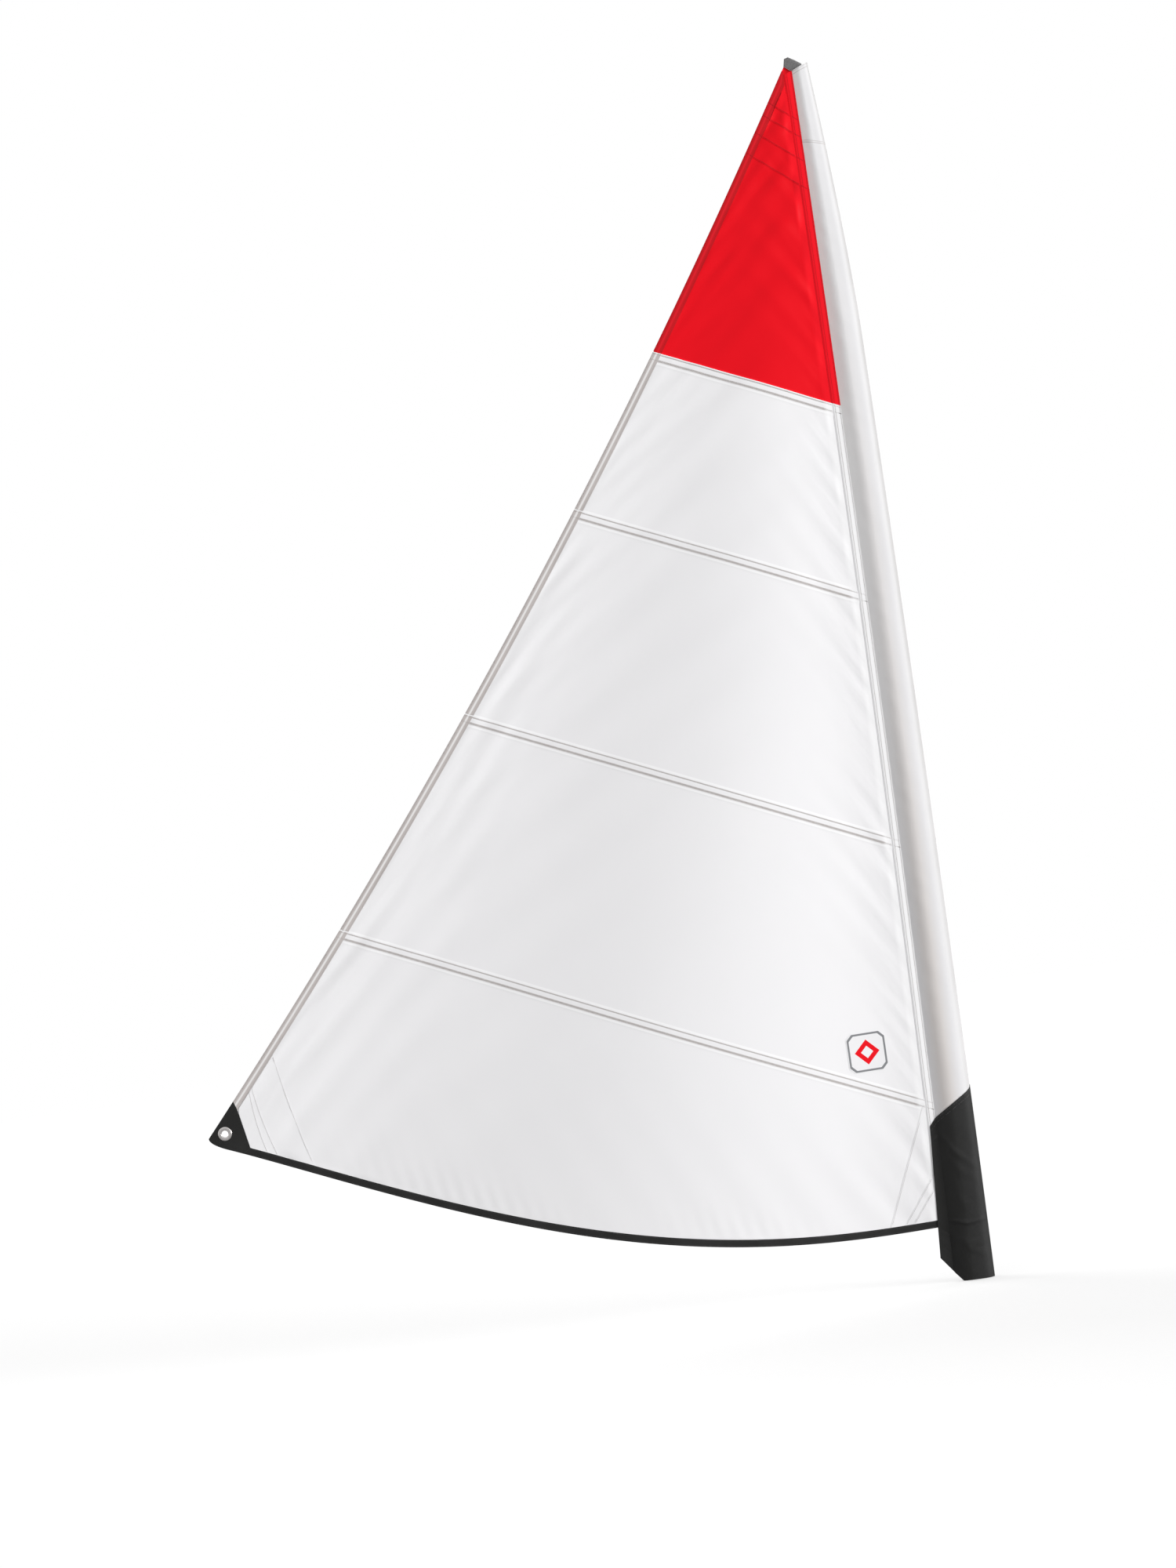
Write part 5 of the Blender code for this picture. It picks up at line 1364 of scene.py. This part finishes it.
grow = GAP + BOOT_WALL
foot_ring = wrapped(np.full((1, SECTION_COLUMNS), TACK_Z), BOOT_FRONT, BOOT_BACK, BOOT_FOOT_REACH)[0]
run = np.concatenate([[0], np.cumsum(np.hypot(*np.diff(foot_ring[:, :2], axis=0).T))])
top = BOOT_AFT_HEIGHT + BOOT_TOP_SLOPE * np.minimum(run, run[-1] - run)
bottom = np.maximum(0.0, BOOT_CUT_SLOPE * (luff_x(0.0) + BOOT_CUT_REACH - foot_ring[:, 0]))
boot_z = bottom + (top - bottom) * np.linspace(0, 1, BOOT_ROWS)[:, None]
opening = ramp(boot_z, TACK_Z - BOOT_CLOSING, TACK_Z - BOOT_OPEN_BELOW)
boot_front = BOOT_SHUT + (BOOT_FRONT - BOOT_SHUT) * opening
boot_back = BOOT_SHUT + (BOOT_BACK - BOOT_SHUT) * opening
reach = BOOT_FOOT_REACH + (BOOT_TOP_REACH - BOOT_FOOT_REACH) * boot_z / BOOT_AFT_HEIGHT
around = wrapped(boot_z, boot_front - grow, boot_back - grow, reach)
folds = boot_creases(around[..., 0], boot_z)
folds = folds * ramp(top - boot_z, 0.0, BOOT_TOP_CALM) * ramp(FIELD_ACROSS, 0.0, BOOT_SEAM_CALM)
outside = thinned(around, -grow - folds)
fields = {"across": FIELD_ACROSS, "below_top": top - boot_z}
boot = walled("sleeve_boot", "black_cloth", outside, thinned(outside, BOOT_WALL), bootcloth(), fields)

# The head webbing
# A piece of grey webbing folded over the head. It holds the red tip aft, and lies on the mast's tip.

WEBBING = 0.0016
STRAP_TOP_RISE = 0.030
STRAP_EDGE = ((0.0013, 0.0015), (-0.0056, 0.0015), (0.0080, 0.0035), (0.0140, -0.0050), (-0.0200, -0.0050))
STRAP_FOLD = ((0.0063, 0.867), (0.0192, 1.0), (0.0070, 0.72), (0.0130, 0.60), (-0.0190, 0.13))
STRAP_NOSE_GAP = 0.010
STRAP_AFT_GAP = 0.0022
STRAP_COLUMNS = 65
STRAP_LEG_POINTS = 12
STRAP_FOLD_POINTS = 17
WEB_GREY = (0.20, 0.196, 0.196)
WEB_DEEP = (0.12, 0.118, 0.12)
WEB_RIB = (0.27, 0.265, 0.265)
WEB_SHADOW = (0.085, 0.084, 0.088)
WEB_PALE = (0.42, 0.41, 0.41)
WEB_GLOSS = 0.2
WEB_CLOUDS = 40.0
RIB_PITCH = 0.0032
RIB_SHARE = 0.35
RIB_HEIGHT = 0.8
CROSS_PITCH = 0.0016
CROSS_HEIGHT = 0.4
END_SHADOW_LINE = (0.0028, 0.0012, 0.0010)
END_EDGE = (0.0004, 0.0012)
END_SHARE = 0.6
WEB_RELIEF = 0.0007
WEB_ROUGHNESS = (0.55, 0.70, 60.0)

nose = nose_x(SLEEVE_TOP_Z)
tip_x, tip_z = LEECH_HEAD
edge_places = [(tip_x, tip_z), *[(LUFF_HEAD_X, HEAD_Z)] * 3, (nose, HEAD_Z)]
fold_places = [(tip_x, tip_z)] * 2 + [(LUFF_HEAD_X, tip_z)] * 2 + [(nose, tip_z)]
knots = np.arange(len(STRAP_EDGE))
fine = np.linspace(0, knots[-1], STRAP_COLUMNS)
low = np.array(edge_places) + STRAP_EDGE
high = np.array(fold_places) + np.array(STRAP_FOLD) * (1.0, STRAP_TOP_RISE)
low, high = (
    np.stack([np.interp(fine, knots, line[:, i]) for i in range(2)], axis=-1) for line in (low, high)
)
reach = (low[:, 0] - low[0, 0]) / (low[-1, 0] - low[0, 0])
half_gap = STRAP_AFT_GAP + (STRAP_NOSE_GAP - STRAP_AFT_GAP) * reach
fold_way = (high - low) / np.linalg.norm(high - low, axis=1, keepdims=True)
fold_centre = high - fold_way * (half_gap + WEBBING)[:, None]


def strap_skin(wall):
    """The webbing's skin: up one leg, round half a circle over the fold, and down the other leg."""
    radius = (half_gap + wall)[:, None]
    turn = np.radians(np.linspace(90, -90, STRAP_FOLD_POINTS))[None]
    leg = np.linspace(0, 1, STRAP_LEG_POINTS + 1)[None, :-1, None]
    up = low[:, None] * (1 - leg) + fold_centre[:, None] * leg
    over = fold_centre[:, None] + fold_way[:, None] * (radius * np.cos(turn))[..., None]
    plan = np.concatenate([up, over, up[:, ::-1]], axis=1)
    flat = radius * np.ones((1, STRAP_LEG_POINTS))
    y = np.concatenate([-flat, -radius * np.sin(turn), flat], axis=1)
    return np.stack([plan[..., 0], y, plan[..., 1]], axis=-1)


def webcloth():
    """Webbing: ribs along it, a painted shadow line inside each cut end and a pale line at the very edge.
    """
    finish = Finish("grey_webbing", Specular_IOR_Level=WEB_GLOSS)
    end = finish.field("end")
    ribs = finish.field("along").waves(RIB_PITCH)
    cloth = finish.blend(WEB_GREY, WEB_DEEP, finish.mottle(WEB_CLOUDS))
    cloth = finish.blend(cloth, WEB_RIB, ribs * RIB_SHARE)
    # Painted shadow where each cut end goes into the sleeve's top
    cloth = finish.blend(cloth, WEB_SHADOW, end.near(*END_SHADOW_LINE) * END_SHARE)
    finish.coloured(finish.blend(cloth, WEB_PALE, (1 - end.past(*END_EDGE)) * END_SHARE))
    finish.raised(ribs * RIB_HEIGHT + end.waves(CROSS_PITCH) * CROSS_HEIGHT, WEB_RELIEF)
    finish.rough(*WEB_ROUGHNESS)
    return finish.material


skins = strap_skin(WEBBING), strap_skin(0.0)
strap_run = np.linalg.norm(np.diff(skins[0], axis=1, prepend=skins[0][:, :1]), axis=-1).cumsum(axis=1)
fields = {"along": low[:, :1], "end": np.minimum(strap_run, strap_run[:, -1:] - strap_run)}
strap = walled("head_strap", "grey_webbing", *skins, webcloth(), fields)

# The stitching
# Polyester thread, in zigzag rows along the seams and the luff and in straight rows along tapes and layers.
# Each stitch is one small prism from hole to hole, a little proud of the cloth.

THREAD = 0.0008
THREAD_SINK = 0.0002
THREAD_RISE = 0.0004
FEWEST_HOLES = 3
ZIGZAG_SHOWN = 0.95
STRAIGHT_SHOWN = 0.74
THREAD_GLOSS = 0.2
THREAD_CLOUDS = 30.0
THREAD_BUMPS = (0.0, 0.5, 900.0, 1.0)
THREAD_RELIEF = 0.0002
THREAD_ROUGHNESS = (0.5, 0.6, 50.0)
# Kinds of row: the pitch of the stitches, and how far each swings to either side
ZIGZAG_PITCH = 0.0042
TAPE_ZIGZAG = (ZIGZAG_PITCH, 0.0011)
HEM_ZIGZAG = (ZIGZAG_PITCH, 0.0008)
STRAIGHT = (0.0048, 0.0)
BAR_TACK = (0.002, 0.0)
SEAM_STITCHES = {SEAM_ROW: (ZIGZAG_PITCH, 0.0016), LAP_ROW: (0.0032, 0.0024)}
RIM_STITCHES = {"grey": (0.0032, 0.0011), "red": (0.0017, 0.0016)}


def stitches(line, height, side, pitch, swing):
    """Corners of one row's stitches, eight to each: a foot in the cloth and a narrower back above it.

    line is plan points, side is 1 in front and -1 at the back, and swing is how far the holes lie to either
    side of the line; without swing the stitches leave a space between each two."""
    length = np.linalg.norm(np.diff(line, axis=0), axis=1).sum()
    holes = resampled(line, max(FEWEST_HOLES, round(length / pitch)))
    way = np.gradient(holes, axis=0)
    way /= np.linalg.norm(way, axis=1, keepdims=True)
    turns = (-1.0) ** np.arange(len(holes))[:, None]
    holes = holes + np.stack([-way[:, 1], way[:, 0]], axis=-1) * swing * turns
    start, end = holes[:-1], holes[1:]
    end = start + (end - start) * (ZIGZAG_SHOWN if swing else STRAIGHT_SHOWN)
    run = (end - start) / np.linalg.norm(end - start, axis=1, keepdims=True)
    across = np.stack([-run[:, 1], run[:, 0]], axis=-1) * THREAD / 2
    pull = run * THREAD / 2
    foot = [start - across, start + across, end + across, end - across]
    across = across / 2
    back = [start + pull - across, start + pull + across, end - pull + across, end - pull - across]
    lift = height + side * np.array([-THREAD_SINK] * 4 + [THREAD_RISE] * 4)
    return laid(np.stack(foot + back, axis=1), lift), side


STITCH_FACES = np.array([
    (0, 1, 2, 3), (7, 6, 5, 4), (1, 0, 4, 5), (2, 1, 5, 6), (3, 2, 6, 7), (0, 3, 7, 4)
])


def sew(name, finish, rows):
    """Rows of stitches as one piece."""
    points = []
    faces = []
    count = 0
    for corners, side in rows:
        base = count + 8 * np.arange(len(corners))[:, None, None]
        order = STITCH_FACES if side > 0 else STITCH_FACES[:, ::-1]
        faces.append((base + order[None]).reshape(-1, 4))
        points.append(corners.reshape(-1, 3))
        count += 8 * len(corners)
    return shown(name, np.concatenate(points), np.concatenate(faces), finish, sharp=70)


def on_both_sides(line, front, back, kind):
    """One row as it shows on the sail's two faces, at a height in front and another behind."""
    return [stitches(line, front, 1, *kind), stitches(line, back, -1, *kind)]


def row_level(seam, down):
    """Level of a row of stitches that lies this far below a panel's top edge."""
    return seam_level(seam) - down / math.cos(SEAM_ANGLE)


def thread(name, colour, deep):
    """Twisted thread, a little darker here and there."""
    finish = Finish(name, Specular_IOR_Level=THREAD_GLOSS)
    finish.coloured(finish.blend(colour, deep, finish.mottle(THREAD_CLOUDS)))
    finish.raised(finish.clouds(*THREAD_BUMPS), THREAD_RELIEF)
    finish.rough(*THREAD_ROUGHNESS)
    return finish.material


grey_thread = thread("grey_thread", colour=(0.37, 0.345, 0.335), deep=(0.29, 0.27, 0.265))
red_thread = thread("red_thread", colour=(0.40, 0.006, 0.012), deep=(0.31, 0.005, 0.009))
black_thread = thread("black_thread", colour=(0.10, 0.098, 0.10), deep=(0.06, 0.058, 0.06))

ON_CLOTH = ON_PANEL + CLOTH
ON_TAPE = LUFF_TAPE_FRONT + CLOTH
ON_HEM = ON_PANEL + TAPE
UNDER_HEM = -GAP - TAPE
SEAM_ROW_POINTS = 400
LUFF_ROW_POINTS = 300
HEM_ROW_POINTS = 200
FOOT_ROW_POINTS = 500
# How far short of its cloth's ends a row stops
SEAM_ROW_STOP = 0.002
LUFF_ROW_STOP = 0.004
HEM_ROW_STOP = 0.003
HEAD_ROW_STOP = 0.16
FOOT_ROW_STOPS = (0.012, 0.002)

# Rows on the seams: one near the front panel's edge and a closer pair over the edge behind it
seam_rows = []
for seam in seams:
    for down, kind in SEAM_STITCHES.items():
        level = row_level(seam, down)
        fore = luff_at(level, LUFF_TAPE_WIDTH + SEAM_ROW_STOP)
        aft = leech_at(level, LEECH_HEM_WIDTH + SEAM_ROW_STOP)
        seam_rows += on_both_sides(resampled([fore, aft], SEAM_ROW_POINTS), ON_CLOTH, 0.0, kind)
seam_thread = sew("seam_stitching", grey_thread, seam_rows)

# Rows on the luff tapes, the leech hems and the foot tape, through all that lies between their two sides
edge_rows = {"grey": [], "red": [], "black": []}
for (_, top, bottom, _, _), colour in zip(luff_spans, ("red", "grey")):
    levels = np.linspace(top - LUFF_ROW_STOP, bottom + LUFF_ROW_STOP, LUFF_ROW_POINTS)
    for place in TAPE_ROWS:
        line = luff_at(levels, np.full(LUFF_ROW_POINTS, place))
        edge_rows[colour] += on_both_sides(line, ON_TAPE, LUFF_TAPE_BACK, TAPE_ZIGZAG)
for name, top, bottom in zip(hems, hem_tops, hem_bottoms):
    colour, stop = ("red", HEAD_ROW_STOP) if name == "head" else ("grey", HEM_ROW_STOP)
    levels = np.linspace(top - stop, bottom + HEM_ROW_STOP, HEM_ROW_POINTS)
    for place in HEM_ROWS:
        line = leech_at(levels, np.full(HEM_ROW_POINTS, place))
        edge_rows[colour] += on_both_sides(line, ON_HEM, UNDER_HEM, STRAIGHT)
along = np.linspace(tape_first + FOOT_ROW_STOPS[0], tape_last - FOOT_ROW_STOPS[1], FOOT_ROW_POINTS)
for place in FOOT_ROWS:
    line = foot_point(along, np.full(FOOT_ROW_POINTS, place))
    edge_rows["black"] += on_both_sides(line, ON_HEM, UNDER_HEM, STRAIGHT)
for rim, height, colour in layer_rims:
    edge_rows[colour].append(stitches(rim, height, 1, *RIM_STITCHES[colour]))

# Rows that show through the luff tape and the hems, where seams and head patches run on under them
BAR_TACK_ROWS = (0.0236, 0.0244, 0.0252)
over_tape = np.linspace(0.0215, 0.0015, 20)
over_hem = np.linspace(0.025, 0.002, 12)
bar_tack = np.linspace(0.009, 0.001, 12)
past_fore_end = np.linspace(0.009, 0.031, 12)[:, None]
past_aft_end = np.linspace(0.004, 0.026, 12)[:, None]
for seam in seams:
    for down in SEAM_STITCHES:
        level = row_level(seam, down)
        edge_rows["grey"].append(stitches(luff_at(level, over_tape), ON_TAPE, 1, *TAPE_ZIGZAG))
        edge_rows["grey"].append(stitches(leech_at(level, over_hem), ON_PANEL + ON_HEM, 1, *HEM_ZIGZAG))
    for down in BAR_TACK_ROWS:
        line = luff_at(row_level(seam, down), bar_tack)
        edge_rows["grey"].append(stitches(line, ON_TAPE + THREAD_RISE / 2, 1, *BAR_TACK))
for rim, _, colour in layer_rims:
    if colour == "red":
        way = (rim[-1] - rim[0]) / np.linalg.norm(rim[-1] - rim[0])
        ends = (rim[-1] + way * past_fore_end, ON_TAPE), (rim[0] - way * past_aft_end, ON_HEM)
        edge_rows["red"] += [stitches(line, on, 1, *RIM_STITCHES["red"]) for line, on in ends]
edge_thread = sew("edge_stitching", grey_thread, edge_rows["grey"])
head_thread = sew("head_stitching", red_thread, edge_rows["red"])
foot_thread = sew("foot_stitching", black_thread, edge_rows["black"])

# The pieces that lie at the foot, in one list
foot_pieces = [hems["foot"], foot_tape, foot_thread, *clew_patches, eyelet, washer]
foot_pieces += corner_layers["clew"] + corner_layers["tack"]

# The camera, at the photograph's viewing angle, rolled as it was held
SENSOR_WIDTH = 36
LENS = 86.4
CAMERA_REACH = 60
CAMERA_PLACE = (
    (0.98978, 0.14263, 0.0, -1.0315),
    (0.0, 0.0, -1.0, -12.0),
    (-0.14263, 0.98978, 0.0, 1.7361),
    (0.0, 0.0, 0.0, 1.0),
)
camera = bpy.data.objects.new("camera", bpy.data.cameras.new("camera"))
camera.data.sensor_width = SENSOR_WIDTH
camera.data.lens = LENS
camera.data.clip_end = CAMERA_REACH
camera.matrix_world = Matrix(CAMERA_PLACE)
bpy.context.collection.objects.link(camera)
bpy.context.scene.camera = camera


# Soft daylight all round, a broad key from the right of the front, and a weaker one from the left behind
def sun(name, direction, strength, spread):
    """A lamp in a direction, at a strength where 1 shows a colour as it is written."""
    lamp = bpy.data.lights.new(name, "SUN")
    lamp.energy = strength * math.pi
    lamp.angle = math.radians(spread)
    thing = bpy.data.objects.new(name, lamp)
    x, y, z = np.array(direction) / np.linalg.norm(direction)
    thing.rotation_euler = (math.acos(z), 0.0, math.atan2(x, -y))
    bpy.context.collection.objects.link(thing)


sun("key", direction=(0.84, -0.51, 0.15), strength=0.93, spread=24)
sun("back", direction=(-0.70, 0.62, 0.34), strength=0.55, spread=30)

# An even surround, which the camera and what the surfaces mirror see as white
SURROUND = 0.66
WHITE_LIGHT = (1, 1, 1, 1)
world = bpy.data.worlds.new("studio")
bpy.context.scene.world = world
world.use_nodes = True
sky = Nodes(world.node_tree)
seen = sky.node("ShaderNodeLightPath", {}, {}, "Is Camera Ray")
for ray in ("Is Glossy Ray", "Is Transmission Ray"):
    seen = seen.maths("MAXIMUM", sky.node("ShaderNodeLightPath", {}, {}, ray))
ground = world.node_tree.nodes["Background"]
sky.join(WHITE_LIGHT, ground.inputs["Color"])
sky.join(seen * (1 - SURROUND) + SURROUND, ground.inputs["Strength"])

# A plain pale floor, which shows white to the camera
FLOOR_REACH = 14.0
FLOOR_Z = -0.002
FLOOR_GREY = (0.42, 0.42, 0.42, 1.0)
FLOOR_GLOW = 0.60
matt = {"Roughness": 0.9, "Specular_IOR_Level": 0.0}
paper = Finish("pale_floor", Base_Color=FLOOR_GREY, Emission_Color=WHITE_LIGHT, **matt)
glow = paper.node("ShaderNodeLightPath", {}, {}, "Is Camera Ray") * FLOOR_GLOW
paper.join(glow, paper.shader.inputs["Emission Strength"])
floor_mesh = bpy.data.meshes.new("floor")
ways = ((-1, -1), (1, -1), (1, 1), (-1, 1))
corners = [(x * FLOOR_REACH, y * FLOOR_REACH, FLOOR_Z) for x, y in ways]
floor_mesh.from_pydata(corners, [], [(0, 1, 2, 3)])
floor_mesh.materials.append(paper.material)
floor = bpy.data.objects.new("floor", floor_mesh)
bpy.context.collection.objects.link(floor)

bpy.context.scene.view_settings.view_transform = "Standard"
